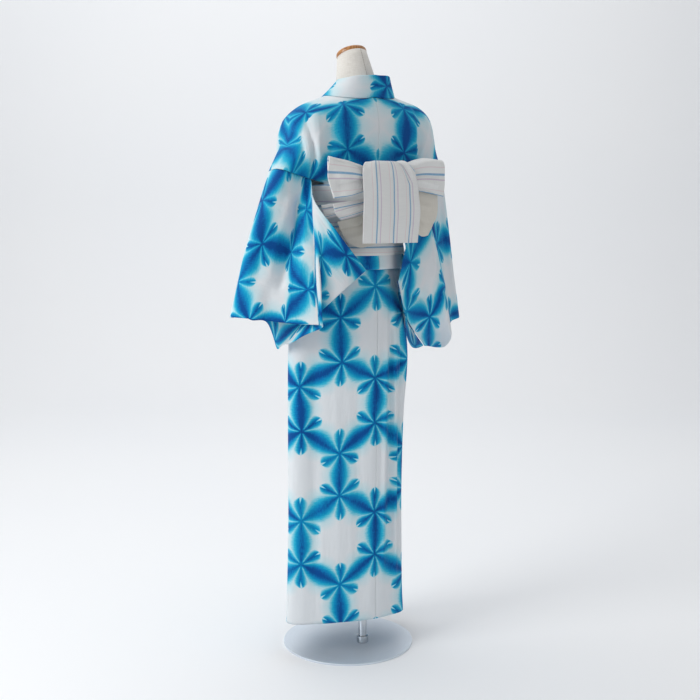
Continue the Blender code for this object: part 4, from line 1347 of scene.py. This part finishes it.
@dataclass(frozen=True)
class CreamReverse:
    """The obi's plain cream reverse."""

    dark: tuple = linear(220, 215, 204)
    light: tuple = linear(242, 238, 228)

    def material(self) -> Material:
        """Build the finish: plain cream with slubs in the weft."""
        recipe = Recipe("obi_reverse_cloth", Roughness=0.8, Sheen_Weight=0.12,
                        Specular_IOR_Level=0.25)
        u, v, _ = recipe.cloth()
        slub = recipe.noise(recipe.vector(u * 500.0, v * 16.0), 1.0, 3.0, 0.6)
        warp = recipe.noise(recipe.vector(u * 16.0, v * 700.0), 1.0, 2.0, 0.6)
        recipe.give("Base Color", recipe.mix(slub * 0.6 + warp * 0.4, self.dark, self.light))
        recipe.bump(recipe.weave(u, v, *OBI_WEAVE) * 0.35 + slub * 0.65, 1.2 * MM, 0.8)
        return recipe.material


@dataclass(frozen=True)
class Linen:
    """Unbleached linen stretched over the dress form."""

    dark: tuple = linear(216, 211, 203)
    light: tuple = linear(240, 237, 231)
    # shadow: painted shade laid along the centre seam's groove.
    shadow: tuple = linear(150, 142, 130)
    seam_width: float = 0.0013
    stitch: float = 0.006

    def material(self) -> Material:
        """Build the finish: uneven threads both ways, in the piece's own coordinates, with painted
        shade darkening the centre seam's groove in beats of the stitch length.
        """
        recipe = Recipe("form_linen_cloth", Roughness=0.85, Sheen_Weight=0.1,
                        Specular_IOR_Level=0.2)
        u, v, _ = recipe.cloth()
        down = recipe.noise(recipe.vector(u * 900.0, v * 30.0), 1.0, 2.0, 0.7)
        across = recipe.noise(recipe.vector(u * 30.0, v * 900.0), 1.0, 2.0, 0.7)
        thread = (down + across) * 0.5
        blotch = recipe.noise(recipe.vector(u, v), 14.0, 2.0)
        # The seam mask sinks the bump into a groove along the centre seam and also carries painted
        # shade, the shadow colour, beaten by the stitches.
        seam = abs(recipe.place()[0]).soft(self.seam_width, self.seam_width / 3)
        stitch = v.sine(self.stitch) * 0.3 + 0.7
        cloth = recipe.mix(thread.soft(0.35, 0.65) * 0.7 + blotch * 0.3, self.dark, self.light)
        recipe.give("Base Color", recipe.mix(seam * stitch * 0.6, cloth, self.shadow))
        recipe.bump(thread - seam * 1.5, 0.0009, 0.7)
        return recipe.material


@dataclass(frozen=True)
class Wood:
    """Turned light-brown wood with a clear gloss."""

    late: tuple = linear(150, 92, 44)
    early: tuple = linear(204, 146, 88)
    ring_width: float = 0.006

    def material(self) -> Material:
        """Build the finish: growth rings seen on the turned face, and fine pores."""
        recipe = Recipe("cap_wood_gloss", Roughness=0.28, Coat_Weight=0.5,
                        Coat_Roughness=0.12)
        x, y, z, vector = recipe.place()
        bend = (recipe.noise(vector, 16.0, 2.0) - 0.5) * 0.012
        ring = (x * 0.9 + z * 0.35 + bend).sine(self.ring_width) * 0.5 + 0.5
        pore = recipe.noise(recipe.vector(x * 700.0, y * 40.0, z * 700.0), 1.0, 2.0)
        recipe.give("Base Color", recipe.mix(ring * 0.55 + pore * 0.45, self.late, self.early))
        recipe.bump(ring * 0.3 + pore * 0.7, 0.0002, 0.5)
        return recipe.material


@dataclass(frozen=True)
class Chrome:
    """Polished steel tube with faint polishing marks."""

    dull: tuple = linear(190, 195, 200)
    bright: tuple = linear(206, 210, 214)

    def material(self) -> Material:
        """Build the finish: bright metal whose roughness varies round the tube."""
        recipe = Recipe("pole_chrome_metal", Metallic=1.0)
        x, y, z, _ = recipe.place()
        mark = recipe.noise(recipe.vector(x * 900.0, y * 900.0, z * 14.0), 1.0, 2.0)
        recipe.give("Base Color", recipe.mix(mark, self.dull, self.bright))
        recipe.give("Roughness", mark * 0.1 + 0.1)
        recipe.bump(mark, 0.00005, 0.3)
        return recipe.material


@dataclass(frozen=True)
class BrushedSteel:
    """Steel plate brushed in circles about its middle."""

    centre: Pair
    dark: tuple = linear(208, 218, 228)
    light: tuple = linear(238, 245, 252)

    def material(self) -> Material:
        """Build the finish: fine rings about the plate's middle with soft wear."""
        recipe = Recipe("brushed_steel_plate", Metallic=0.8)
        x, y, z, vector = recipe.place()
        x, y = x - self.centre[0], y - self.centre[1]
        radius = (x * x + y * y).power(0.5)
        brush = recipe.noise(recipe.vector(radius * 1600.0, x * 6.0, y * 6.0), 1.0, 3.0, 0.7)
        cloud = recipe.noise(vector, 9.0, 2.0)
        recipe.give("Base Color", recipe.mix(brush * 0.6 + cloud * 0.4, self.dark, self.light))
        recipe.give("Roughness", brush * 0.12 + cloud * 0.08 + 0.5)
        recipe.bump(brush, 0.0001, 0.35)
        return recipe.material


# === Sub-assemblies ===
@dataclass(frozen=True)
class Finish:
    """A material and the name of a slot, which nothing here reads."""

    material: Material
    slot: str


def dress(thing: Thing, finish: Finish, node: str) -> None:
    """Give a piece its finish and its place in the frame, and hide the solid that it stands for.
    """
    thing.data.materials.append(finish.material)
    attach(thing, BODY)
    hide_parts(node)
    LOG.info("%s: %d faces", thing.name, len(thing.data.polygons))


def cloth_piece(name: str, grid: tuple[Array, Array], thickness: float, finish: Finish,
                node: str,
                closed: bool = False) -> None:
    """Build one sheet of cloth and dress it.

    Args:
        name: the piece's name.
        grid: its points, rows by columns by 3, and their places in the cloth.
        thickness: of the cloth.
        finish: its finish, for the solid named by node.
        node: the solid that it stands for.
        closed: join the last column to the first.
    """
    piece = grid_object(name, *grid, closed)
    give_wall(piece, thickness)
    dress(piece, finish, node)


@dataclass
class Robe:
    """The robe: body panels, front overlaps, sleeves and collar."""

    figure: Figure = field(default_factory=Figure)
    dyed: SnowFlowerCotton = SnowFlowerCotton()
    body_flat: Pair = (0.3, 2.95)
    okumi_flat: Pair = (0.155, 1.28)
    sleeve_flat: Pair = (0.36, 0.76)
    collar_flat: Pair = (0.115, 1.02)

    def build(self) -> None:
        """Build and dress every piece of the robe."""
        cotton = Finish(self.dyed.material(), "dyed_cotton")
        panels = BodyPanels(self.figure)
        sleeves = Sleeves(self.figure, panels.outer.up)
        collar = Collar(panels)
        for side in Side:
            body = f"cotton_body_{side.word}"
            panel, okumi = panels.panel(side), panels.okumi(side)
            for kind, grid, flat, held, carrier in (
                    ("body", (panel.points, panel.pattern), self.body_flat, "draped",
                     "form_torso"),
                    ("okumi", (okumi.points, okumi.pattern), self.okumi_flat, "draped", body),
                    ("sleeve", sleeves.sheet(side), self.sleeve_flat, "hung", body)):
                cloth_piece(f"cotton_{kind}_{side.word}", grid, panels.cloth, cotton,
                            f"{kind}_{side.word}")
        cloth_piece("cotton_collar", collar.band(), collar.cloth, cotton, "collar")


def key_sheet(lines: tuple, stations: tuple, across: Array, along: Array) -> Array:
    """Smooth sheet through key lines.

    Formula: a smooth curve through the lines' places at each share across, then a smooth
    curve through its stations.

    Args:
        lines: rows of a share and one place for each station.
        stations: where the places lie along a line, 0 to 1.
        across: shares to read.
        along: places to read along the lines.

    Returns:
        The points, along by across by 3.
    """
    shares = [row[0] for row in lines]
    places = np.array([row[1:] for row in lines])
    by_share = smooth_between(shares, places, across)
    return smooth_between(stations, by_share.transpose(1, 0, 2), along)


@dataclass
class Obi:
    """The obi: its turns round the waist, its knot and the bow at the back.

    The bow's sheets are rows of key lines: a share across the cloth (to 2 where it is folded
    back), then places along it, from the knot outwards.

    root, tail_root: how far from the knot the folds begin.
    stripe_shift, gather: the tail's stripes across the cloth, and how far they are drawn
        together where it leaves the knot.
    """

    figure: Figure
    cloth: float = 2.4 * MM
    stand_off: float = 17.15 * MM
    bottom: float = 1.01
    top: float = 1.181
    width: float = 0.17
    wing_left: tuple = (
        (0.0, (0.0167, 0.079, 1.176), (0.095, 0.078, 1.155), (0.138, 0.076, 1.147)),
        (0.5, (0.0167, 0.076, 1.19), (0.095, 0.074, 1.196), (0.152, 0.076, 1.196)),
        (0.9, (0.0167, 0.078, 1.206), (0.095, 0.076, 1.229), (0.155, 0.078, 1.24)),
        (1.0, (0.0167, 0.0835, 1.208), (0.095, 0.086, 1.232), (0.158, 0.084, 1.243)),
        (1.1, (0.0167, 0.089, 1.206), (0.095, 0.095, 1.229), (0.16, 0.09, 1.24)),
        (1.5, (0.0167, 0.091, 1.19), (0.095, 0.099, 1.196), (0.164, 0.092, 1.196)),
        (2.0, (0.0167, 0.088, 1.176), (0.095, 0.095, 1.155), (0.144, 0.09, 1.147)),
    )
    wing_right: tuple = (
        (0.0, (-0.0407, 0.079, 1.174), (-0.11, 0.078, 1.165), (-0.172, 0.07, 1.154)),
        (0.5, (-0.0407, 0.076, 1.19), (-0.11, 0.074, 1.198), (-0.175, 0.07, 1.198)),
        (0.9, (-0.0407, 0.078, 1.22), (-0.11, 0.076, 1.24), (-0.178, 0.072, 1.24)),
        (1.0, (-0.0407, 0.0835, 1.224), (-0.11, 0.086, 1.245), (-0.181, 0.078, 1.243)),
        (1.1, (-0.0407, 0.089, 1.22), (-0.11, 0.095, 1.24), (-0.184, 0.084, 1.24)),
        (1.5, (-0.0407, 0.091, 1.19), (-0.11, 0.099, 1.198), (-0.188, 0.086, 1.198)),
        (2.0, (-0.0407, 0.088, 1.174), (-0.11, 0.095, 1.165), (-0.186, 0.084, 1.154)),
    )
    wing_left_lower: tuple = (
        (0.0, (0.0167, 0.082, 1.156), (0.085, 0.08, 1.143), (0.14, 0.076, 1.134)),
        (0.5, (0.0167, 0.085, 1.138), (0.085, 0.085, 1.122), (0.134, 0.08, 1.11)),
        (1.0, (0.0167, 0.08, 1.122), (0.085, 0.08, 1.104), (0.118, 0.076, 1.096)),
    )
    lobe_left: tuple = (
        (0.0, (0.0167, 0.075, 1.115), (0.07, 0.07, 1.103), (0.118, 0.06, 1.092)),
        (0.5, (0.0167, 0.075, 1.078), (0.068, 0.07, 1.066), (0.104, 0.06, 1.064)),
        (1.0, (0.0167, 0.075, 1.038), (0.055, 0.07, 1.03), (0.086, 0.061, 1.04)),
    )
    lobe_right: tuple = (
        (0.0, (-0.0408, 0.084, 1.172), (-0.11, 0.0865, 1.17), (-0.17, 0.08, 1.16)),
        (0.5, (-0.045, 0.09, 1.112), (-0.115, 0.094, 1.106), (-0.164, 0.087, 1.108)),
        (1.0, (-0.085, 0.093, 1.07), (-0.11, 0.096, 1.056), (-0.132, 0.092, 1.058)),
    )
    tail_end: tuple = (
        (0.0, (0.08, 0.0774, 1.142), (0.12, 0.064, 1.137), (0.156, 0.05, 1.131)),
        (0.5, (0.078, 0.0774, 1.126), (0.118, 0.064, 1.12), (0.15, 0.05, 1.114)),
        (1.0, (0.076, 0.0774, 1.112), (0.115, 0.064, 1.106), (0.144, 0.05, 1.098)),
    )
    tail_stations: tuple = (0.0, 0.15, 0.55, 1.0)
    tail: tuple = (
        (0.0, (0.03, 0.08, 1.229), (0.066, 0.102, 1.231), (0.0766, 0.113, 1.14),
         (0.0766, 0.107, 1.041)),
        (0.25, (0.014, 0.08, 1.229), (0.034, 0.105, 1.234), (0.035, 0.116, 1.14),
         (0.035, 0.111, 1.041)),
        (0.5, (-0.004, 0.08, 1.229), (-0.002, 0.106, 1.235), (-0.007, 0.117, 1.14),
         (-0.007, 0.112, 1.041)),
        (0.75, (-0.022, 0.08, 1.229), (-0.036, 0.105, 1.234), (-0.048, 0.116, 1.14),
         (-0.048, 0.11, 1.041)),
        (1.0, (-0.04, 0.08, 1.229), (-0.062, 0.102, 1.23), (-0.089, 0.112, 1.14),
         (-0.089, 0.106, 1.041)),
    )
    wing_folds: tuple = (
        Fold(((0.0, 0.105), (0.07, 0.1), (0.14, 0.098)), -0.0045, 0.006, 1.6, 0.15),
        Fold(((0.0, 0.118), (0.07, 0.12), (0.135, 0.125)), 0.0035, 0.006, 2.0, 0.15),
        Fold(((0.0, 0.13), (0.07, 0.136), (0.13, 0.146)), -0.0045, 0.006, 1.6, 0.15),
        Fold(((0.0, 0.146), (0.06, 0.156), (0.12, 0.166)), 0.003, 0.006, 2.0, 0.15),
    )
    small_folds: tuple = (
        Fold(((0.0, 0.02), (0.05, 0.024), (0.11, 0.03)), -0.0028, 0.005, 1.6, 0.15),
        Fold(((0.0, 0.045), (0.06, 0.054), (0.11, 0.062)), 0.0022, 0.008, 2.0, 0.15),
    )
    tail_folds: tuple = (
        Fold(((0.0, 0.118), (0.04, 0.124), (0.09, 0.142)), -0.0045, 0.007, 1.6, 0.2),
        Fold(((0.0, 0.136), (0.04, 0.146), (0.08, 0.158)), 0.0035, 0.006, 2.0, 0.2),
        Fold(((0.01, 0.03), (0.12, 0.04)), 0.0016, 0.012),
        Fold(((0.06, 0.09), (0.23, 0.085)), -0.0014, 0.012),
    )
    root: float = 0.012
    tail_root: float = 0.01
    stripe_shift: float = -0.018
    gather: float = 0.03
    gather_down: Pair = (0.16, 0.42)
    gather_across: Pair = (0.45, 0.85)
    ripple: float = 0.9 * MM
    ripple_length: float = 0.06
    tail_ripple_length: float = 0.07
    tail_ripple_seed: int = 5
    knot_low: tuple = (-0.04, 0.0646, 1.1)
    knot_high: tuple = (0.016, 0.1032, 1.227)
    knot_square: float = 0.4
    knot_end: int = 6
    knot_least: float = 0.04

    def wrap(self) -> tuple[Array, Array]:
        """The closed band round the waist: the figure's ring, moved out over the robe."""
        angles = np.linspace(0.0, 360.0, 241)
        heights = np.linspace(self.bottom, self.top, 41)[:, None]
        points = self.figure.ring(angles, heights, self.stand_off)
        u = distances(points, 1)
        v = np.broadcast_to(heights - self.bottom, u.shape)
        return points[:, :-1], np.stack([u, v], axis=-1)

    def rippled(self, points: Array, u: Array, place: Array, folds: tuple[Fold, ...],
                seed: int, length: float, root: float) -> Array:
        """A sheet of the bow with its folds and a slight ripple, flat at the knot.

        Args:
            points: rows by columns by 3.
            u: distance along the cloth, from the knot; place is the distance across it.
            folds: its folds.
            seed: chooses the ripple, whose length follows.
            root: how far from the knot the folds begin.
        """
        lift = all_lifts(folds, u, place) + self.ripple * waves(u, place, seed, length)
        return raised(points, -lift * soft_step(u, 0.0, root))

    def loop(self, node: str, lines: tuple, finish: Finish) -> None:
        """Build one sheet of the bow from its key lines.

        Args:
            node: the solid it stands for.
            lines: its key lines.
            finish: its finish.
        """
        span = lines[-1][0]
        folded_back = span > 1
        across = np.linspace(0.0, span, 111 if folded_back else 61)
        points = key_sheet(lines, (0.0, 0.5, 1.0), across, np.linspace(0, 1, 61))
        u = distances(points, 0)
        place = np.broadcast_to(across * self.width / 2, u.shape)
        folds = self.wing_folds if folded_back else self.small_folds
        points = self.rippled(points, u, place, folds, len(node), self.ripple_length, self.root)
        cloth_piece("obi_cloth_" + node.removeprefix("bow_").removeprefix("obi_"),
                    (points, np.stack([u, place], axis=-1)), self.cloth, finish, node)

    def tail_sheet(self) -> tuple[Array, Array]:
        """The end brought over the knot: its points and their places in the weave."""
        across = np.linspace(0.0, 1.0, 91)
        along = np.linspace(0.0, 1.0, 121)
        points = key_sheet(self.tail, self.tail_stations, across, along)
        u = distances(points, 0)
        place = np.broadcast_to(across * self.width, u.shape)
        points = self.rippled(points, u, place, self.tail_folds, self.tail_ripple_seed,
                              self.tail_ripple_length, self.tail_root)
        drawn = ((1 - soft_step(along, *self.gather_down))[:, None]
                 * soft_step(across, *self.gather_across))
        v = place + self.stripe_shift + self.gather * drawn
        return points, np.stack([u, v], axis=-1)

    def build(self) -> None:
        """Build and dress every piece of the obi."""
        woven = Finish(ObiWeave().material(), "obi_weave")
        reverse = Finish(CreamReverse().material(), "obi_reverse")
        band = self.wrap()
        cloth_piece("obi_cloth_wrap", band, self.cloth, woven, "obi_wrap",
                    closed=True)
        self.knot(woven)
        for node, lines, finish in (("bow_wing_left", self.wing_left, woven),
                                    ("bow_wing_right", self.wing_right, woven),
                                    ("bow_wing_left_lower", self.wing_left_lower, woven),
                                    ("bow_lobe_left", self.lobe_left, reverse),
                                    ("bow_lobe_right", self.lobe_right, reverse),
                                    ("obi_tail_end", self.tail_end, woven)):
            self.loop(node, lines, finish)
        tail = self.tail_sheet()
        cloth_piece("obi_cloth_tail", tail, self.cloth, woven, "obi_tail")

    def knot(self, finish: Finish) -> None:
        """The knot: a block with soft corners, a superellipse at every height.

        Formula: x and y follow the cosine and sine of an angle, each to the power
        knot_square with its sign kept; near both ends the section shrinks to knot_least,
        by the fourth root of 1 less the height to the power knot_end.
        """
        low, high = np.array(self.knot_low), np.array(self.knot_high)
        middle, half = (low + high) / 2, (high - low) / 2
        turn = np.linspace(0, math.tau, 65)[:-1]
        circle = np.stack([np.cos(turn), np.sin(turn)], axis=-1)
        square = np.sign(circle) * np.abs(circle) ** self.knot_square
        rise = np.sin(np.linspace(-math.pi / 2, math.pi / 2, 41))
        shrink = ((1 - np.abs(rise) ** self.knot_end) ** 0.25 * (1 - self.knot_least)
                  + self.knot_least)
        rings = np.empty((len(rise), len(turn), 3))
        rings[..., :2] = middle[:2] + square * half[:2] * shrink[:, None, None]
        rings[..., 2] = (middle[2] + rise * half[2])[:, None]
        thing = ring_object("obi_cloth_knot", rings)
        ring_uv(thing, rings)
        dress(thing, finish, "obi_knot")


def ring_uv(thing: Thing, rings: Array) -> None:
    """Give a ring body a UV map in metres: angle times mean radius, and height.

    Args:
        thing: an object from ring_object.
        rings: the rings it was made of.
    """
    mesh = thing.data

    def read(items: bpy.types.bpy_prop_collection, key: str, width: int, kind: type) -> Array:
        """One property of all vertices, loops or faces."""
        values = np.empty(len(items) * width, dtype=kind)
        items.foreach_get(key, values)
        return values

    places = read(mesh.vertices, "co", 3, float).reshape(-1, 3)
    centre = rings.reshape(-1, 3).mean(axis=0)
    radius = np.hypot(*(rings - centre).reshape(-1, 3)[:, :2].T).mean()
    angle = np.arctan2(places[:, 0] - centre[0], places[:, 1] - centre[1])
    index = read(mesh.loops, "vertex_index", 1, np.int32)
    owner = np.repeat(np.arange(len(mesh.polygons)),
                      read(mesh.polygons, "loop_total", 1, np.int32))
    turn = angle[index]
    low = np.full(len(mesh.polygons), np.inf)
    np.minimum.at(low, owner, turn)
    turn = np.where(turn - low[owner] > math.pi, turn - math.tau, turn)
    layer = mesh.uv_layers.new(name=CLOTH_UV)
    uv = np.stack([turn * radius, places[index, 2]], axis=-1)
    layer.data.foreach_set("uv", uv.astype(np.float32).ravel())


@dataclass
class DressForm:
    """The linen-covered torso with its bare neck, and the turned wood cap.

    heights, inset: lower rings, and how far they lie inside the robe's figure.
    rows: bust rings as height, centre Y, half width, depth to the back and to the front.
    neck_rows: height, half width, depth and centre Y; the last one is tilted.
    profile: the cap's section as radius over the neck's, and height.
    """

    figure: Figure
    heights: tuple = (0.8, 0.84, 0.9, 0.975, 1.04, 1.1, 1.15, 1.19)
    inset: float = 0.01
    rows: tuple = (
        (1.225, -0.058, 0.136, 0.1, 0.088),
        (1.262, -0.052, 0.156, 0.09, 0.082),
        (1.3, -0.044, 0.174, 0.076, 0.07),
        (1.33, -0.034, 0.184, 0.06, 0.056),
    )
    shoulder_shares: tuple = (0.58, 0.48, 0.4, 0.33)
    shoulder_depths: tuple = (0.048, 0.043, 0.038, 0.032)
    shoulder_drop: float = 0.0034
    shoulder_gap: float = 0.0004
    neck_rows: tuple = ((1.3905, 0.078, 0.042, -0.03), (1.401, 0.062, 0.049, -0.029),
                        (1.422, 0.0525, 0.0515, -0.0275), (1.4985, 0.0368, 0.0368, -0.0495))
    neck_tilt: float = 0.38
    touch: float = 0.3 * MM
    seam_rise: float = 0.7 * MM
    seam_spread: float = 0.0006
    profile: tuple = ((1.01, 0.0), (1.02, 0.0006), (1.03, 0.002), (1.035, 0.0045),
                      (1.03, 0.007), (1.015, 0.0088), (0.99, 0.0101), (0.95, 0.0109),
                      (0.86, 0.0118), (0.7, 0.0128), (0.5, 0.0133), (0.3, 0.0136),
                      (0.12, 0.0137))

    def rings(self) -> Array:
        """Key rings of the form: hips and waist, bust, shoulders and neck.

        Formula: the lower rings are the dressed figure's less the inset; the upper ones
        are ovals with their own depth to the back and to the front.
        """
        angles = np.linspace(0.0, 360.0, 129)[:-1]
        radians = np.radians(angles)

        def oval(height: float, centre_y: float, half_width: float, back: float,
                 front: float, slope: float = 0.0) -> Array:
            y = np.where(np.cos(radians) > 0, back, front) * np.cos(radians)
            return np.stack([half_width * np.sin(radians), centre_y + y,
                             height + slope * y], axis=-1)

        rings = [self.figure.ring(angles, height, -self.inset) for height in self.heights]
        rings += [oval(*row) for row in self.rows]
        for share, depth in zip(self.shoulder_shares, self.shoulder_depths):
            x, _, z = self.figure.shoulder(np.array(share), Side.LEFT)
            rings.append(oval(z - self.shoulder_gap, self.figure.shoulder_y,
                              x - self.shoulder_drop, depth, depth))
        for number, (height, half_width, depth, centre_y) in enumerate(self.neck_rows):
            slope = self.neck_tilt if number == len(self.neck_rows) - 1 else 0.0
            rings.append(oval(height, centre_y, half_width, depth, depth, slope))
        return np.array(rings)

    def build(self) -> None:
        """Build and dress the torso and the cap."""
        keys = self.rings()
        index = np.arange(len(keys), dtype=float)
        rings = smooth_between(index, keys, np.linspace(0, len(keys) - 1, 141))
        angle = np.linspace(0, math.tau, rings.shape[1] + 1)[:-1]
        from_seam = (angle - math.pi) % math.tau - math.pi
        seam = self.seam_rise * np.exp(-from_seam ** 2 / self.seam_spread)
        outward = rings - rings.mean(axis=1, keepdims=True)
        outward /= np.linalg.norm(outward, axis=-1, keepdims=True)
        torso = ring_object("linen_torso", rings + outward * seam[None, :, None])
        ring_uv(torso, rings)
        dress(torso, Finish(Linen().material(), "form_linen"), "form_torso")
        self.cap()

    def cap(self) -> None:
        """The cap: a turned profile, tilted to the front with the top of the neck."""
        height, radius, _, centre_y = self.neck_rows[-1]
        keys = np.arange(len(self.profile), dtype=float)
        profile = smooth_between(keys, self.profile, np.linspace(0, keys[-1], 49))
        turn = np.linspace(0, math.tau, 129)[:-1]
        tilt = math.atan(self.neck_tilt)
        x = profile[:, :1] * radius * np.sin(turn)
        y = profile[:, :1] * radius * np.cos(turn)
        z = np.broadcast_to(profile[:, 1:], x.shape)
        top = height + self.touch / math.cos(tilt)
        rings = np.stack([x, centre_y + y * math.cos(tilt) - z * math.sin(tilt),
                          top + y * math.sin(tilt) + z * math.cos(tilt)], axis=-1)
        cap = ring_object("wood_neck_cap", rings)
        dress(cap, Finish(Wood().material(), "cap_wood"), "neck_cap")


@dataclass
class Stand:
    """Steel stand: pole, ferrule and round base plate.

    axis is the radius at which the flat ends are closed by a fan of triangles.
    """

    pole_radius: float = 0.0105
    ferrule_radius: float = 0.015
    ferrule_height: float = 0.018
    base_radius: float = 0.168
    base_thickness: float = 0.005
    base_centre: Pair = (0.018, -0.041)
    pole_top: float = 0.7997
    touch: float = 0.3 * MM
    axis: float = 0.5 * MM
    plate_edge: float = 1.2 * MM
    foot_edge: float = 0.8 * MM
    ferrule_edge: float = 1.0 * MM
    ferrule_chamfer: float = 0.6 * MM

    def turned(self, name: str, profile: list, centre: Pair, finish: Finish,
               node: str) -> None:
        """Spin a profile of radius and height about a vertical line.

        Args:
            name: the piece's name.
            profile: pairs of radius and height, from one end to the other.
            centre: the line's X and Y.
            finish: the finish.
            node: the solid it stands for.
        """
        turn = np.linspace(0, math.tau, 193)[:-1]
        profile = np.array(profile)
        rings = np.stack([centre[0] + profile[:, :1] * np.sin(turn),
                          centre[1] + profile[:, :1] * np.cos(turn),
                          np.broadcast_to(profile[:, 1:], (len(profile), len(turn)))], axis=-1)
        thing = ring_object(name, rings)
        thing.data.set_sharp_from_angle(angle=math.radians(SHARP_ANGLE))
        dress(thing, finish, node)

    @staticmethod
    def rounded(radius: float, top: float, soft: float) -> list[Pair]:
        """A profile's upper edge, rounded along a quarter circle."""
        return [(radius - soft + soft * math.sin(a), top - soft + soft * math.cos(a))
                for a in np.radians(np.linspace(0, 90, 7))]

    def build(self) -> None:
        """Build and dress the stand."""
        steel = Finish(BrushedSteel(self.base_centre).material(), "brushed_steel")
        chrome = Finish(Chrome().material(), "pole_chrome")
        r, t, axis = self.base_radius, self.base_thickness, self.axis
        foot = t + self.touch
        self.turned("steel_base_plate",
                    [(axis, t), (r * 0.3, t), (r * 0.6, t), (r * 0.9, t),
                     *self.rounded(r, t, self.plate_edge),
                     (r, self.foot_edge), (r - self.foot_edge, 0.0), (axis, 0.0)],
                    self.base_centre, steel, "base_plate")
        p, high = self.pole_radius, self.pole_top
        self.turned("chrome_pole", [(axis, foot), (p, foot), (p, 0.2), (p, 0.5), (p, high),
                                    (axis, high)],
                    (0.0, 0.0), chrome, "pole")
        f, top, soft = self.ferrule_radius, foot + self.ferrule_height, self.ferrule_edge
        bore = p + self.touch
        self.turned("chrome_ferrule", [(bore, top), *self.rounded(f, top, soft),
                                       (f, foot + soft), (f - self.ferrule_chamfer, foot),
                                       (bore, foot), (bore, top)],
                    (0.0, 0.0), chrome, "pole_ferrule")


# === The studio ===
@dataclass
class Studio:
    """Pale seamless backdrop, soft lights and the camera.

    right, back: the camera's right and the way towards it, level with the floor.
    lamps: name, place, size, power, tint and the place lit. Places are to the right,
        towards the camera and up.
    """

    right: tuple = (-0.819, 0.574, 0.0)
    back: tuple = (0.574, 0.819, 0.0)
    distance: float = 2.7
    eye: float = 1.107
    aim_right: float = -0.0325
    tilt: float = 7.1
    sensor: float = 36.0
    lens: float = 1080 / 700 * 36
    sweep_radius: float = 1.2
    sweep_reach: float = 3.4
    sweep_front: float = 6.0
    sweep_top: float = 7.0
    sweep_half_width: float = 9.0
    under_floor: float = 0.2 * MM
    floor_shade: tuple = linear(244, 246, 249)
    floor_tint: tuple = linear(248, 249, 250)
    world_tint: tuple = linear(247, 248, 250)
    world_strength: float = 0.44
    lamps: tuple = (
        ("key_left", (-2.4, 1.5, 1.9), 1.5, 46.0, (1.0, 0.99, 0.975), (0.0, 0.0, 0.85)),
        ("fill_right", (2.4, 1.2, 1.4), 2.0, 3.0, (1.0, 0.98, 0.95), (0.0, 0.0, 0.85)),
        ("top", (-0.4, -0.3, 3.0), 2.2, 6.0, (1.0, 1.0, 1.0), (0.0, 0.0, 0.85)),
        ("wall_wash", (-0.8, -1.9, 4.4), 5.0, 92.0, (1.0, 1.0, 1.0), (-0.3, -4.6, 1.7)),
        ("floor_wash", (0.2, 1.5, 1.1), 2.4, 3.0, (1.0, 1.0, 1.0), (0.21, 1.5, 0.0)),
    )

    def toward(self, right: float, back: float, up: float) -> Vector:
        """A place so far to the camera's right, towards the camera and up."""
        return (Vector(self.right) * right + Vector(self.back) * back
                + Vector((0.0, 0.0, up)))

    def aimed(self, name: str, data: bpy.types.ID, place: tuple,
              aim: tuple) -> Thing:
        """Put a lamp or the camera at one place, facing another."""
        thing = placed(name, data)
        thing.location = self.toward(*place)
        way = self.toward(*aim) - thing.location
        thing.rotation_euler = way.to_track_quat("-Z", "Y").to_euler()
        return thing

    def camera(self) -> None:
        """Make the camera at a standing viewer's height, behind the wearer's left."""
        data = bpy.data.cameras.new("camera")
        data.sensor_width = self.sensor
        data.lens = self.lens
        drop = self.distance * math.tan(math.radians(self.tilt))
        bpy.context.scene.camera = self.aimed("camera", data, (0.0, self.distance, self.eye),
                                              (self.aim_right, 0.0, self.eye - drop))

    def lights(self) -> None:
        """Hang the soft square lamps."""
        for name, place, size, power, tint, aim in self.lamps:
            data = bpy.data.lights.new(name, "AREA")
            data.size = size
            data.energy = power
            data.color = tint
            self.aimed(name, data, place, aim)

    def sweep(self) -> None:
        """Floor that curves up into a backdrop behind the figure.

        Formula: a straight floor, a quarter circle and a straight wall, as a profile
        carried sideways.
        """
        radius, reach = self.sweep_radius, self.sweep_reach
        turn = np.radians(np.linspace(0, 90, 25))
        profile = np.concatenate([
            [[self.sweep_front, 0.0], [0.0, 0.0]],
            np.stack([-reach - radius * np.sin(turn), radius * (1 - np.cos(turn))], axis=-1),
            [[-reach - radius, self.sweep_top]]])
        side = np.array([-self.sweep_half_width, self.sweep_half_width])
        points = (np.array(self.back) * profile[:, None, :1]
                  + np.array(self.right) * side[:, None]
                  + np.array([0.0, 0.0, 1.0]) * profile[:, None, 1:])
        points[..., 2] -= self.under_floor
        floor = grid_object("studio_sweep", points[:, ::-1], np.zeros_like(points[..., :2]))
        recipe = Recipe("studio_paper", Roughness=0.9, Specular_IOR_Level=0.1)
        tone = recipe.noise(recipe.place()[3], 0.8, 1.0)
        recipe.give("Base Color", recipe.mix(tone, self.floor_shade, self.floor_tint))
        floor.data.materials.append(recipe.material)

    def build(self) -> None:
        """Make the camera, the backdrop, the world's light and the lamps."""
        self.camera()
        self.sweep()
        scene = bpy.context.scene
        world = bpy.data.worlds.new("studio_world")
        world.use_nodes = True
        sky = world.node_tree.nodes["Background"]
        sky.inputs["Color"].default_value = self.world_tint
        sky.inputs["Strength"].default_value = self.world_strength
        scene.world = world
        scene.view_settings.view_transform = "Standard"
        self.lights()


def main() -> None:
    """Build the dressed stand and the studio."""
    logging.basicConfig(level=logging.INFO, format="%(name)s %(message)s")
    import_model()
    figure = Figure()
    Studio().build()
    DressForm(figure).build()
    Stand().build()
    Robe(figure).build()
    Obi(figure).build()
    bpy.context.view_layer.update()


if __name__ == "__main__":
    main()
